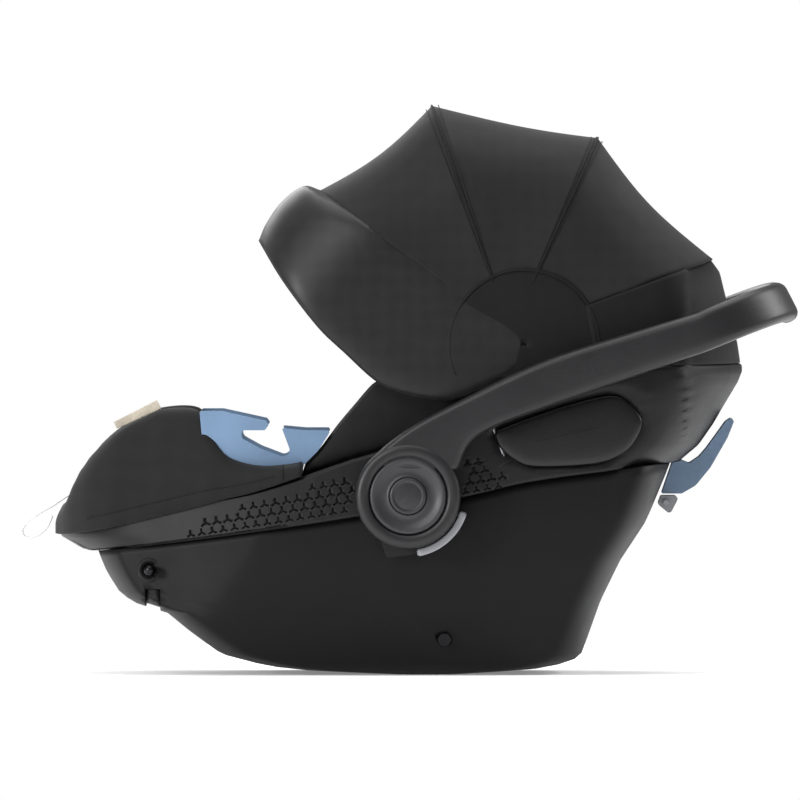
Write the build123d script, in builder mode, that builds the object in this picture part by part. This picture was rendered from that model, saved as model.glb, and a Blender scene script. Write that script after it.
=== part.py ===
"""Infant car seat: shell, carrying handle, folding canopy, harness and base latch.

Millimetres. +X points to the head end, +Z up, and the seat is symmetric about Y = 0.
The origin is the middle of the flat under the rocker bottom, where the seat stands.
"Left" and "right" are the child's own sides: left is -Y, right is +Y.
"""

import os
from math import atan2, cos, degrees, hypot, radians, sin

from build123d import *

os.makedirs("parts", exist_ok=True)

# ---------------------------------------------------------------- driving dimensions
# Overall widths, each measured from the centre plane
rim_half_width = 188.0  # seat shell at its rim
rocker_half_width = 140.0  # flat under the rocker bottom

# Walls and layers
rim_wall = 8.0  # double wall of the rim band
shell_wall = 4.0  # lower shell and bucket
foam_depth = 20.0  # impact foam
lining_depth = 8.0  # padded body cover
layer_gap = 0.3  # clearance between soft layers and what they lie on

# Handle
hub_x, hub_z = -16.0, 168.0  # pivot of the handle
handle_reach = 404.0  # from the pivot to the outer face of the crossbar
handle_thickness = 20.0  # of the crossbar, along the reach
handle_gap = 6.0  # between rim and handle arm
arm_width = 24.0  # of each arm, across the seat
hub_radius = 49.4
hub_depth = 26.0
hub_web = 2.5  # inner wall of the hub
button_radius = 35.7
button_travel = 5.0
journal_radius = 12.0
running_gap = 0.05  # radial clearance of every pivot

# Canopy
canopy_x, canopy_z = 80.0, 322.0  # pivot of the three bows
bow_band = 3.0  # thickness of a bow's strip
bow_strip = 8.0  # width of a bow's strip
bow_corner = 85.0
bow_layer = 0.3  # between the legs of neighbouring bows
bow_drop = 4.7  # from a seam in the cloth down to its bow
pivot_pin_radius = 4.0
fabric = 1.5  # thickness of the canopy cloth
rear_seam = (201.0, 19.4)  # reach and angle of each seam, from the pivot
rear_bow = (198.0, 65.6)
mid_bow = (223.0, 109.3)
front_bow = (222.0, 144.0)
panel_foot = 75.0  # the panels begin this far from the pivot

# Base latch
anchor_x, anchor_z = -258.0, 98.0
anchor_radius = 5.0
latch_x, latch_z = 18.0, 33.0
latch_radius = 6.0
lever_x, lever_z = 226.0, 160.0
lever_pin_radius = 2.5

# Headrest and backrest
recline = 40.0  # slope of the backrest

# Harness
webbing = 1.8
webbing_width = 26.0
buckle_width = 50.0

# ---------------------------------------------------------------- derived sizes
handle_inner = rim_half_width + handle_gap
handle_outer = handle_inner + arm_width
shell_half_width = rim_half_width - 6.0
bucket_inset = rim_half_width - shell_half_width + 2 * shell_wall
foam_inset = bucket_inset + shell_wall
lining_inset = foam_inset + foam_depth
cabin_inset = lining_inset + lining_depth
span = 2 * rim_half_width + 100.0  # longer than any width, for cuts right across

bracket_in = rim_half_width - 23.0
bracket_out = bracket_in + 6.7
leg_rear = bracket_out + bow_layer
leg_mid = leg_rear + bow_band + bow_layer
leg_front = leg_mid + bow_band + bow_layer
gusset_in = leg_front + bow_band + bow_layer
cloth_out = rim_half_width - 1.5
visor_out = rim_half_width + 0.5


# ---------------------------------------------------------------- helpers
def export(part, name):
    """Label a finished piece and write it as its own node."""
    part.label = name
    export_step(part, f"parts/{name}.step")
    print(f"{name}: {len(part.solids())} solid(s), {part.volume:.0f} mm3")


def side_plane(y):
    """Plane in the seat's side view, at a distance y from the centre plane."""
    return Plane.XZ.offset(-y)


def outline(points, radii=None):
    """Closed flat outline; radii rounds its corners, all alike or one by one, 0 for sharp."""
    if radii is None or isinstance(radii, (int, float)):
        radii = [radii or 0] * len(points)
    with BuildSketch() as face:
        with BuildLine():
            Polyline(*points, close=True)
        make_face()
        for point, radius in zip(points, radii):
            if radius:
                fillet(vertices().sort_by_distance((*point, 0))[0], radius)
    return face.sketch


def side_slab(points, inner, outer, side, radii=None):
    """Prism with a side-view outline, between two distances from the centre plane."""
    with BuildPart() as slab:
        with BuildSketch(side_plane(side * inner)):
            add(outline(points, radii))
        extrude(amount=-side * (outer - inner))
    return slab.part


def cross_prism(points, half_width, radii=None):
    """Prism with a side-view outline, right across the seat."""
    with BuildPart() as prism:
        with BuildSketch(Plane.XZ):
            add(outline(points, radii))
        extrude(amount=half_width, both=True)
    return prism.part


def cross_rod(x, z, radius, inner, outer, side=1):
    """Round bar across the seat, between two distances from the centre plane."""
    with BuildPart() as rod:
        with BuildSketch(side_plane(side * inner)):
            with Locations((x, z)):
                Circle(radius)
        extrude(amount=-side * (outer - inner))
    return rod.part


def ring(x, z, outer_radius, inner_radius, inner, outer, side):
    """Round ring about a cross axis."""
    with BuildPart() as hoop:
        with BuildSketch(side_plane(side * inner)):
            with Locations((x, z)):
                Circle(outer_radius)
                Circle(inner_radius, mode=Mode.SUBTRACT)
        extrude(amount=-side * (outer - inner))
    return hoop.part


def polar(reach, angle, x=canopy_x, z=canopy_z):
    """Side-view point at a reach and an angle from a pivot."""
    return (x + reach * cos(radians(angle)), z + reach * sin(radians(angle)))


# ---------------------------------------------------------------- outlines of the shell
floor_height = 600.0  # above everything

plan_points = [
    (-343, 70), (-300, 125), (-150, rim_half_width), (235, rim_half_width), (299, 118),
    (299, -118), (235, -rim_half_width), (-150, -rim_half_width), (-300, -125), (-343, -70),
]
front_points = [
    (-rocker_half_width, 0), (rocker_half_width, 0), (shell_half_width - 14, 65),
    (shell_half_width, 150), (shell_half_width, floor_height),
    (-shell_half_width, floor_height), (-shell_half_width, 150), (-shell_half_width + 14, 65),
]
split_line = [(230, 197), (164, 190), (94, 180), (33, 166), (-66, 148), (-185, 130), (-306, 115)]
belly_line = [
    (-307, 114), (-287, 76), (-262, 62), (-241, 60), (-192, 18), (-112, 3), (-40, 0), (40, 0),
    (104, 4), (146, 15), (165, 68), (183, 105), (208, 143), (230, 196),
]
belly_radii = [0, 14, 10, 4, 90, 130, 120, 120, 90, 3, 40, 90, 60, 0]
rim_line = [
    (-343, 131), (-282, 145), (-212, 162), (-164, 171), (-118, 185), (-70, 202), (-46, 209),
    (164, 272), (216, 289), (298, 291),
]
head_line = [(298, 283), (294, 273), (279, 248), (271, 234), (257, 214), (239, 199), (230, 197)]
seat_line = [
    (-318, 128), (-230, 100), (-120, 56), (-60, 40), (0, 40), (48, 60), (272, 248), (285, 292),
]


def height_on(line, x):
    """Height of a side-view line of points at a place along the seat."""
    for (x0, z0), (x1, z1) in zip(line, line[1:]):
        if x0 <= x <= x1:
            return z0 + (z1 - z0) * (x - x0) / (x1 - x0)
    raise ValueError(f"no height at {x}")


def above_seat(x, depth):
    """Height of the seat line's front slope or flat, moved up square to itself."""
    heights = []
    for (x0, z0), (x1, z1) in zip(seat_line[2:4], seat_line[3:5]):
        slope = (z1 - z0) / (x1 - x0)
        heights.append(z0 + slope * (x - x0) + depth * hypot(1, slope))
    return max(heights)


def tub(side_inset, plan_inset, front_inset, points=None, radii=None):
    """Solid inside the seat's side, plan and front outlines, each moved inward."""
    if points is None:
        points = seat_line + [(285, floor_height), (-318, floor_height)]
    with BuildPart() as solid:
        with BuildSketch(Plane.XZ):
            add(outline(points, radii))
            if side_inset:
                offset(amount=-side_inset, kind=Kind.INTERSECTION)
        extrude(amount=span, both=True)
        with BuildSketch(Plane.XY):
            add(outline(plan_points, 75))
            if plan_inset:
                offset(amount=-plan_inset)
        extrude(amount=floor_height, mode=Mode.INTERSECT)
        if front_inset is not None:
            with BuildSketch(Plane.YZ):
                add(outline(front_points))
                if front_inset:
                    offset(amount=-front_inset, kind=Kind.INTERSECTION)
            extrude(amount=span, both=True, mode=Mode.INTERSECT)
    return solid.part


# ---------------------------------------------------------------- seat shell
slot_width, slot_depth = 14.0, 18.0
hook_half_gap, hook_slot_width = 50.0, 22.0
hook_mid = hook_half_gap + hook_slot_width / 2
lug_width = 5.0
lever_half_width = 45.0

with BuildPart() as lower_shell:
    add(tub(0, 6, 0, belly_line + split_line[1:], belly_radii + [0] * (len(split_line) - 1)))
    add(tub(shell_wall, 6 + shell_wall, shell_wall, belly_line + [(228, 300), (-306, 300)]),
        mode=Mode.SUBTRACT)
    # slot across the front lobes, open at the bottom
    with Locations((-255, 0, 62)):
        Box(slot_width, span, 2 * slot_depth, mode=Mode.SUBTRACT)
    # bores for the anchor bar and the latch shaft
    add(cross_rod(anchor_x, anchor_z, anchor_radius + running_gap, -span, span), mode=Mode.SUBTRACT)
    add(cross_rod(latch_x, latch_z, latch_radius, -span, span), mode=Mode.SUBTRACT)
    # slots in the bottom for the two hooks
    for side in (-1, 1):
        with Locations((22, side * hook_mid, 0)):
            Box(64, hook_slot_width, 30, mode=Mode.SUBTRACT)
    # lugs for the release lever's pin
    for side in (-1, 1):
        lug = [(206, 172), (202, 148), (222, 154), (231, 158), (229, 165), (222, 172)]
        add(side_slab(lug, lever_half_width + 1, lever_half_width + 1 + lug_width, side))
    add(cross_rod(lever_x, lever_z, lever_pin_radius, -span, span), mode=Mode.SUBTRACT)
export(lower_shell.part, "lower_shell")

screw_radius = 3.0  # of the screws that hold the handle's pivots
pod_outline = [
    (68, 214), (64, 227), (71, 231), (100, 242), (136, 254), (172, 262), (188, 257), (203, 239),
    (196, 219), (181, 205), (155, 197), (102, 195), (82, 202),
]
pod_radii = [8, 3, 3, 20, 20, 10, 12, 14, 14, 16, 16, 16, 20]
pod_clearance = 1.0
pod_pocket = 5.5  # depth of the recess that each pod lies in

hinge_tilt = 21.0  # the hinge leans back from upright
hinge_x, hinge_z = 63.0, 217.0  # middle of the hinge line
pod_out = rim_half_width + 4.0
pod_floor = rim_half_width - pod_pocket + 0.3
hinge_y = pod_floor + 3.4
hinge_radius, hinge_length, knuckle_length = 1.6, 30.0, 16.0
pod_crown = 3.0


def hinge_rod(side, radius, length):
    """Rod on a side pod's hinge line."""
    plane = Plane(origin=(hinge_x + 6, side * hinge_y, hinge_z), x_dir=(0, 1, 0),
                  z_dir=(-sin(radians(hinge_tilt)), 0, cos(radians(hinge_tilt))))
    with BuildPart() as rod:
        with BuildSketch(plane):
            Circle(radius)
        extrude(amount=length / 2, both=True)
    return rod.part


with BuildPart() as upper_shell:
    band = rim_line + head_line + split_line[1:] + [(-307, 115.5), (-321, 115.5), (-341, 128)]
    add(tub(0, 0, None, band))
    add(tub(-shell_wall, bucket_inset, 2 * shell_wall, seat_line + [(285, 293), (-318, 128.5)]))
    add(cross_prism(rim_line + [(298, floor_height), (-360, floor_height)], span), mode=Mode.SUBTRACT)
    add(tub(0, foam_inset, 3 * shell_wall), mode=Mode.SUBTRACT)
    upper_cut = split_line[::-1] + [(285, 240), (285, floor_height), (-310, floor_height)]
    add(tub(0, rim_wall, None, [(x, z + shell_wall) for x, z in upper_cut]) & tub(0, 0, None),
        mode=Mode.SUBTRACT)
    for side in (-1, 1):
        pocket = rim_half_width - pod_pocket
        with BuildSketch(side_plane(side * pocket)):
            add(outline(pod_outline, pod_radii))
            offset(amount=pod_clearance)
        extrude(amount=-side * 10, mode=Mode.SUBTRACT)
        add(hinge_rod(side, hinge_radius, hinge_length), mode=Mode.SUBTRACT)
        add(hinge_rod(side, hinge_y - pocket, knuckle_length + 1), mode=Mode.SUBTRACT)
        add(cross_rod(hub_x, hub_z, screw_radius, rim_half_width - rim_wall - 1, rim_half_width + 1, side),
            mode=Mode.SUBTRACT)
export(upper_shell.part, "upper_shell")

# ---------------------------------------------------------------- foam and covers
above_rim = [(-360, floor_height), (400, floor_height)]
belly_of_rim = [(400, rim_line[-1][1])] + rim_line[::-1] + [(-360, rim_line[0][1])]

with BuildPart() as impact_foam:
    add(tub(layer_gap, foam_inset + layer_gap, 3 * shell_wall + layer_gap))
    add(tub(foam_depth, lining_inset, 3 * shell_wall + foam_depth), mode=Mode.SUBTRACT)
    add(cross_prism(belly_of_rim + above_rim, span), mode=Mode.SUBTRACT)
export(impact_foam.part, "impact_foam")

guide_inner, guide_outer = rim_half_width - 45.0, rim_half_width - 25.0
guide_slot_gap = 0.4
guide_line = [
    (-211, 247), (-190, 247), (-149, 238), (-146, 234), (-150, 229), (-171, 229), (-172, 222),
    (-154, 212), (-133, 204), (-125, 207), (-134, 231), (-112, 229), (-88, 229), (-100, 210),
    (-120, 190), (-160, 182), (-195, 182), (-208, 215),
]
guide_radii = [2, 8, 2, 2, 2, 3, 5, 12, 6, 6, 1, 4, 2, 8, 8, 8, 8, 8]


def guide_slot(side):
    """Room for a lap belt guide in the padded covers."""
    grown = guide_line[:2] + [(-140, 244), (-140, 233), (-84, 233)] + guide_line[13:]
    return side_slab(grown, guide_inner - guide_slot_gap, guide_outer + guide_slot_gap, side)


leg_end = -116.0  # where the leg cover ends and the body cover begins
bolster_half_width = bracket_in - 1.0
bolster_line = [
    (leg_end + 0.5, 200), (-97, 215), (-80, 237), (-50, 272), (-10, 292), (110, 300), (296, 297),
]
cabin_front = 3 * shell_wall + foam_depth + lining_depth

with BuildPart() as body_cover:
    add(tub(foam_depth + layer_gap, lining_inset + layer_gap, cabin_front - lining_depth + layer_gap))
    cover_top = [(-360, 127)] + rim_line[:4] + [(leg_end, height_on(rim_line, leg_end))]
    cover_top += bolster_line + [(400, bolster_line[-1][1])]
    add(cross_prism(cover_top + above_rim[::-1], span), mode=Mode.SUBTRACT)
    bolster = bolster_line + [(296, 291.4)] + [(x, z + layer_gap) for x, z in rim_line[-2:4:-1]]
    bolster += [(leg_end + 0.5, height_on(rim_line, leg_end + 0.5) + layer_gap)]
    bolster_plan = rim_half_width - bolster_half_width
    bolsters = tub(0, bolster_plan, None, bolster)
    add(bolsters)
    add(tub(foam_depth + lining_depth, cabin_inset, cabin_front), mode=Mode.SUBTRACT)
    for side in (-1, 1):
        add(guide_slot(side), mode=Mode.SUBTRACT)
export(body_cover.part, "body_cover")

leg_line = [
    (-344.5, 132), (-348, 145), (-343, 164), (-319, 200), (-290, 228), (-246, 248), (-214, 250),
    (-200, 232), (-187, 211), (-172, 202), (-150, 197), (-126, 197), (leg_end, 199),
]
leg_radii = [0, 8, 20, 40, 40, 40, 12, 30, 20, 20, 10, 6, 0]
leg_well_half_width = 100.0
well_line = [(-345, 158), (-330, 166), (-290, 180), (-240, 180), (-180, 160), (-100, 140)]

with BuildPart() as leg_cover:
    leg_base = [(leg_end, height_on(rim_line, leg_end) + layer_gap)]
    leg_base += [(x, z + layer_gap) for x, z in rim_line[4::-1]]
    add(tub(0, -4.5, None, leg_line + leg_base, leg_radii + [0] * len(leg_base)))
    add(cross_prism(well_line + [(-100, 400), (-345, 400)], leg_well_half_width), mode=Mode.SUBTRACT)
    for side in (-1, 1):
        add(guide_slot(side), mode=Mode.SUBTRACT)
    # well for the harness adjuster
    with Locations((-300, 0, 178)):
        Box(37, 47, 30, mode=Mode.SUBTRACT)
export(leg_cover.part, "leg_cover")

for side, name in ((-1, "left"), (1, "right")):
    with BuildPart() as lap_belt_guide:
        add(side_slab(guide_line, guide_inner, guide_outer, side, guide_radii))
    export(lap_belt_guide.part, f"lap_belt_guide_{name}")

# ---------------------------------------------------------------- cushions and headrest
back_origin = (48.0, 60.0)  # where the bucket's backrest begins
back_dir = (cos(radians(recline)), sin(radians(recline)))
back_normal = (-sin(radians(recline)), cos(radians(recline)))
back_depth = foam_depth + lining_depth + layer_gap  # from the bucket to the cover's face
pad_depth = 12.0


def on_back(along, height, y=0.0):
    """Point above the cover's backrest: distance up the slope, height off it, across."""
    lift = back_depth + height
    x = back_origin[0] + along * back_dir[0] + lift * back_normal[0]
    z = back_origin[1] + along * back_dir[1] + lift * back_normal[1]
    return (x, y, z)


def back_outline(corners):
    """Side-view points from (along, height) pairs on the backrest."""
    return [(on_back(a, h)[0], on_back(a, h)[2]) for a, h in corners]


pad_half_width = 118.0
head_start, head_length = 74.0, 118.0
head_plate, head_pad_depth = 6.0, 15.0
head_half_width, head_wing = 124.0, 62.0
head_gap = 0.6

with BuildPart() as seat_pad:
    stations = (-108, -57, -8)
    under = [(x, above_seat(x, back_depth)) for x in stations]
    over = [(x, above_seat(x, back_depth + pad_depth)) for x in stations[::-1]]
    add(cross_prism(under + over, pad_half_width, [4, 0, 3, 5, 0, 5]))
export(seat_pad.part, "seat_pad")

with BuildPart() as back_pad:
    add(cross_prism(back_outline([(12, 0), (255, 0), (255, pad_depth), (12, pad_depth)]), pad_half_width - 6,
                    [2, 2, 5, 5]))
export(back_pad.part, "back_pad")

head_plane = Plane(origin=on_back(head_start, pad_depth + head_gap),
                   x_dir=(0, 1, 0), z_dir=(back_dir[0], 0, back_dir[1]))


def head_section(inset, plate, wing):
    """Cross-section of the headrest: a plate with two wings that lean outward."""
    w = head_half_width - inset
    base = w - 22.0
    return [(-base, inset), (-w, wing), (-w + plate, wing + 2), (-base + plate, inset + plate),
            (base - plate, inset + plate), (w - plate, wing + 2), (w, wing), (base, inset)]


with BuildPart() as headrest_shell:
    with BuildSketch(head_plane):
        add(outline(head_section(0, head_plate, head_wing), [14, 2, 2, 10, 10, 2, 2, 14]))
    extrude(amount=head_length)
export(headrest_shell.part, "headrest_shell")

with BuildPart() as headrest_pad:
    pad_inset = head_plate + layer_gap
    with BuildSketch(head_plane.offset(4)):
        add(outline(head_section(pad_inset, head_pad_depth, head_wing + 4), [8, 5, 5, 12, 12, 5, 5, 8]))
    extrude(amount=head_length - 8)
export(headrest_pad.part, "headrest_pad")

# ---------------------------------------------------------------- handle and hubs
drawn_reach = 404.0  # the arm's outline is drawn for this reach, and stretched to the real one


def stretched(*points):
    """Side-view points of the arm, moved out from the hub in step with the handle's reach."""
    k = handle_reach / drawn_reach
    return [(hub_x + k * (x - hub_x), hub_z + k * (z - hub_z)) for x, z in points]


arm_line = [(-62, 176), (-58, 194), (-39, 214), (-13, 233)]
arm_line += stretched((28, 255), (108, 294), (198, 323), (288, 349), (335, 361), (346, 345), (346, 326),
                      (324, 319), (261, 302), (180, 274), (109, 249))
arm_line += [(66, 233), (40, 218), (30, 190)]
arm_radii = [5, 25, 30, 60, 150, 200, 300, 200, 12, 8, 8, 60, 200, 200, 150, 30, 20, 10]
reach_angle = degrees(atan2(183, 354))  # of the crossbar, seen from the hub
reach_dir = (cos(radians(reach_angle)), 0, sin(radians(reach_angle)))
gear_teeth, gear_radius, gear_depth, gear_gap = 16, 29.0, 3.0, 0.5
gear_plane_y = handle_inner + hub_web + 12.5
button_base = gear_plane_y + gear_depth
hub_face = handle_inner + hub_depth
grip_skin = 1.6
grip_half_width = 96.0


def bow_plan(reach, half_width, corner):
    """U of the handle, seen square to its arms: from the pivot out to the crossbar."""
    return outline([(-70, -half_width), (reach, -half_width), (reach, half_width), (-70, half_width)],
                   [0, corner, corner, 0])


handle_plane = Plane(origin=(hub_x, 0, hub_z), x_dir=reach_dir, z_dir=(-reach_dir[2], 0, reach_dir[0]))


def gear_profile(extra):
    """Toothed disc outline, grown by a clearance."""
    with BuildSketch() as face:
        Circle(gear_radius - 4 + extra)
        with PolarLocations(gear_radius - 4, gear_teeth):
            Rectangle(9 + 2 * extra, 4.4 + 2 * extra)
        with BuildSketch(mode=Mode.INTERSECT):
            Circle(gear_radius + extra)
    return face.sketch


def crossbar(skin):
    """Middle stretch of the handle's crossbar, thinned by a skin all round."""
    with BuildPart() as bar:
        with BuildSketch(handle_plane):
            with Locations((handle_reach - handle_thickness / 2, 0)):
                Rectangle(handle_thickness - 2 * skin, 2 * grip_half_width)
        extrude(amount=120, both=True)
        with BuildSketch(Plane.XZ):
            add(outline(arm_line, arm_radii))
            if skin:
                offset(amount=-skin)
        extrude(amount=span, both=True, mode=Mode.INTERSECT)
    return bar.part


with BuildPart() as handle_grip:
    add(crossbar(0))
    add(crossbar(grip_skin), mode=Mode.SUBTRACT)
export(handle_grip.part, "handle_grip")

with BuildPart() as handle_frame:
    with BuildSketch(handle_plane):
        add(bow_plan(handle_reach, handle_outer, 88))
        add(bow_plan(handle_reach - handle_thickness, handle_inner, 66), mode=Mode.SUBTRACT)
    extrude(amount=120, both=True)
    add(cross_prism(arm_line, span, arm_radii), mode=Mode.INTERSECT)
    add(handle_grip.part, mode=Mode.SUBTRACT)
    for side in (-1, 1):
        add(cross_rod(hub_x, hub_z, hub_radius, handle_inner, hub_face, side))
        add(cross_rod(hub_x, hub_z, button_radius + 0.3, button_base - button_travel - 0.4, hub_face + 1,
                      side), mode=Mode.SUBTRACT)
        with BuildSketch(side_plane(side * (handle_inner + hub_web))):
            with Locations((hub_x, hub_z)):
                add(gear_profile(gear_gap))
        extrude(amount=-side * (button_base - handle_inner - hub_web + 0.1), mode=Mode.SUBTRACT)
        add(cross_rod(hub_x, hub_z, journal_radius + running_gap, handle_inner - 1, hub_face, side),
            mode=Mode.SUBTRACT)
export(handle_frame.part, "handle_frame")

plate_radius = 28.0
journal_length = 9.0
screw_head_radius, screw_head_depth = 8.0, 2.4
spring_radius, wire_radius, spring_turns = 17.0, 0.8, 3
cap_radius, cap_depth, dish_depth = 17.0, 2.2, 4.0
lever_inner, lever_outer = hub_radius + 0.8, hub_radius + 7.8
lever_gap = 0.4
lever_start, lever_end = -80.0, -17.0

for side, name in ((-1, "left"), (1, "right")):
    # plate on the shell with the journal that the handle turns on
    with BuildPart() as pivot_plate:
        add(cross_rod(hub_x, hub_z, plate_radius, rim_half_width, handle_inner - layer_gap, side))
        add(cross_rod(hub_x, hub_z, journal_radius, handle_inner - 1, handle_inner + journal_length, side))
        add(cross_rod(hub_x, hub_z, screw_radius, rim_half_width - 1, hub_face, side), mode=Mode.SUBTRACT)
    export(pivot_plate.part, f"pivot_plate_{name}")

    # toothed lock disc, a sliding fit in the hub
    with BuildPart() as lock_gear:
        with BuildSketch(side_plane(side * gear_plane_y)):
            with Locations((hub_x, hub_z)):
                add(gear_profile(0))
                Circle(journal_radius + 1, mode=Mode.SUBTRACT)
        extrude(amount=-side * gear_depth)
    export(lock_gear.part, f"lock_gear_{name}")

    # dished push button with a round cap in its middle
    with BuildPart() as handle_button:
        add(cross_rod(hub_x, hub_z, button_radius, button_base, hub_face, side))
        add(ring(hub_x, hub_z, button_radius - 5, cap_radius + 2, hub_face - dish_depth, hub_face + 1, side),
            mode=Mode.SUBTRACT)
        add(cross_rod(hub_x, hub_z, cap_radius, hub_face - cap_depth, hub_face + 1, side), mode=Mode.SUBTRACT)
    export(handle_button.part, f"handle_button_{name}")
    with BuildPart() as button_cap:
        add(cross_rod(hub_x, hub_z, cap_radius - 0.2, hub_face - cap_depth, hub_face, side))
    export(button_cap.part, f"button_cap_{name}")

    # coil spring between the hub's web and the lock disc
    spring_span = gear_plane_y - handle_inner - hub_web - 2 * wire_radius - 0.2
    coil = Helix(pitch=spring_span / spring_turns, height=spring_span, radius=spring_radius)
    with BuildPart() as button_spring:
        with BuildSketch(Plane(origin=coil @ 0, z_dir=coil % 0)):
            Circle(wire_radius)
        sweep(path=coil)
    spring_base = side * (handle_inner + hub_web + wire_radius + 0.1)
    turned = button_spring.part.rotate(Axis.X, -side * 90)
    turned = turned.moved(Location((hub_x, spring_base, hub_z)))
    export(turned, f"button_spring_{name}")

    # grey release lever of the stroller adapter, round the hub's lower edge
    with BuildPart() as adapter_lever:
        with BuildSketch(side_plane(side * (rim_half_width + lever_gap))):
            with Locations((hub_x, hub_z)):
                Circle(lever_outer)
                Circle(plate_radius + 0.3, mode=Mode.SUBTRACT)
            wedge = [(hub_x, hub_z)] + [polar(150, a, hub_x, hub_z) for a in (lever_start, -48, lever_end)]
            add(outline(wedge), mode=Mode.INTERSECT)
        extrude(amount=-side * (handle_gap - 2 * lever_gap))
        with BuildSketch(side_plane(side * (rim_half_width + lever_gap))):
            with Locations((hub_x, hub_z)):
                Circle(lever_outer)
                Circle(lever_inner, mode=Mode.SUBTRACT)
            add(outline(wedge), mode=Mode.INTERSECT)
        extrude(amount=-side * (handle_gap + 12.0))
    export(adapter_lever.part, f"adapter_lever_{name}")

    # black housing of the stroller adapter, on the shell under the hub
    housing_line = [(-41, 148), (-41, 124), (-36, 110), (-12, 113), (33, 133), (36, 152)]
    with BuildPart() as adapter_housing:
        add(side_slab(housing_line, shell_half_width, rim_half_width, side, [2, 6, 4, 10, 4, 2]))
    export(adapter_housing.part, f"adapter_housing_{name}")

with BuildPart() as pivot_screws:
    for side in (-1, 1):
        head_in = handle_inner + journal_length
        add(cross_rod(hub_x, hub_z, screw_radius, rim_half_width - rim_wall + 1, head_in, side))
        add(cross_rod(hub_x, hub_z, screw_head_radius, head_in, head_in + screw_head_depth, side))
export(pivot_screws.part, "pivot_screws")

# ---------------------------------------------------------------- side impact pods
for side, name in ((-1, "left"), (1, "right")):
    with BuildPart() as side_pod:
        add(side_slab(pod_outline, pod_floor, pod_out, side, pod_radii))
        chamfer(faces().sort_by(Axis.Y)[0 if side < 0 else -1].edges(), length=pod_crown)
        # a round knuckle on the hinge line, with nothing behind it
        split(bisect_by=Plane(origin=(hinge_x + 6, 0, hinge_z), z_dir=(cos(radians(hinge_tilt)), 0,
                              sin(radians(hinge_tilt)))), keep=Keep.TOP)
        add(hinge_rod(side, hinge_y - pod_floor - 0.1, knuckle_length))
        add(hinge_rod(side, hinge_radius + running_gap, 120), mode=Mode.SUBTRACT)
    export(side_pod.part, f"side_pod_{name}")

with BuildPart() as pod_hinge_pins:
    for side in (-1, 1):
        add(hinge_rod(side, hinge_radius, hinge_length))
export(pod_hinge_pins.part, "pod_hinge_pins")

# ---------------------------------------------------------------- belt guide and release lever
rear_guide_half_width = 42.0
rear_guide_line = [
    (222, 168.5), (232, 197.6), (241, 200), (248, 197), (257, 203), (264, 211), (272, 222), (282, 236),
    (288, 240), (290, 236), (284, 221), (268, 193), (254, 176), (241, 168.5),
]
rear_guide_radii = [1, 1, 3, 3, 5, 10, 10, 3, 2, 2, 20, 30, 16, 2]
lever_line = [(221.5, 166.5), (218.5, 158.5), (230, 149), (239, 166.5)]

with BuildPart() as shoulder_belt_guide:
    add(cross_prism(rear_guide_line, rear_guide_half_width, rear_guide_radii))
    add(lower_shell.part, mode=Mode.SUBTRACT)
    add(upper_shell.part, mode=Mode.SUBTRACT)
export(shoulder_belt_guide.part, "shoulder_belt_guide")

with BuildPart() as base_release_lever:
    add(cross_prism(lever_line, lever_half_width, [2, 3, 3, 3]))
    add(cross_rod(lever_x, lever_z, lever_pin_radius + running_gap, -span, span), mode=Mode.SUBTRACT)
export(base_release_lever.part, "base_release_lever")

with BuildPart() as release_lever_pin:
    add(cross_rod(lever_x, lever_z, lever_pin_radius, -lever_half_width - lug_width - 1,
                  lever_half_width + lug_width + 1))
export(release_lever_pin.part, "release_lever_pin")

with BuildPart() as front_anchor_bar:
    bar_half_length = 132.4 + (rim_half_width - 125) * 0.28
    add(cross_rod(anchor_x, anchor_z, anchor_radius, -bar_half_length, bar_half_length))
    for side in (-1, 1):
        with Locations(Location((anchor_x, side * bar_half_length, anchor_z))):
            Sphere(anchor_radius)
export(front_anchor_bar.part, "front_anchor_bar")

stud_width, stud_depth, hook_depth = 13.0, 3.0, 9.0
shaft_half_length = rocker_half_width + (shell_half_width - 14 - rocker_half_width) * latch_z / 65 + 3.8
hook_line = [
    (11, 33), (10, 24), (20, 12), (33, 14), (36, 22), (31, 23), (28, 18), (22, 19), (26, 30), (24, 36),
    (13, 36),
]
with BuildPart() as latch_shaft:
    add(cross_rod(latch_x, latch_z, latch_radius, -shaft_half_length, shaft_half_length))
    for side in (-1, 1):
        with BuildSketch(side_plane(side * shaft_half_length)):
            with Locations((latch_x, latch_z)):
                RegularPolygon(stud_width / 2, 6)
        extrude(amount=-side * stud_depth)
export(latch_shaft.part, "latch_shaft")

with BuildPart() as latch_hooks:
    add(cross_rod(latch_x, latch_z, latch_radius + 2, -hook_mid - hook_depth / 2, hook_mid + hook_depth / 2))
    for side in (-1, 1):
        add(side_slab(hook_line, hook_mid - hook_depth / 2, hook_mid + hook_depth / 2, side))
    add(cross_rod(latch_x, latch_z, latch_radius + running_gap, -span, span), mode=Mode.SUBTRACT)
export(latch_hooks.part, "latch_hooks")

# ---------------------------------------------------------------- canopy
def bow_plane(angle):
    """Plane of a bow: local X across the seat, local Y out from the pivot."""
    return Plane(origin=(canopy_x, 0, canopy_z), x_dir=(0, 1, 0),
                 z_dir=(sin(radians(angle)), 0, -cos(radians(angle))))


def bow_band_outline(reach, half_width, foot, band):
    """U-shaped band in a bow's plane."""
    inner = half_width - band
    with BuildSketch() as face:
        add(outline([(-half_width, foot), (half_width, foot), (half_width, reach), (-half_width, reach)],
                    [0, 0, bow_corner, bow_corner]))
        add(outline([(-inner, foot - 1), (inner, foot - 1), (inner, reach - band), (-inner, reach - band)],
                    [0, 0, bow_corner - band, bow_corner - band]), mode=Mode.SUBTRACT)
    return face.sketch


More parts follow.
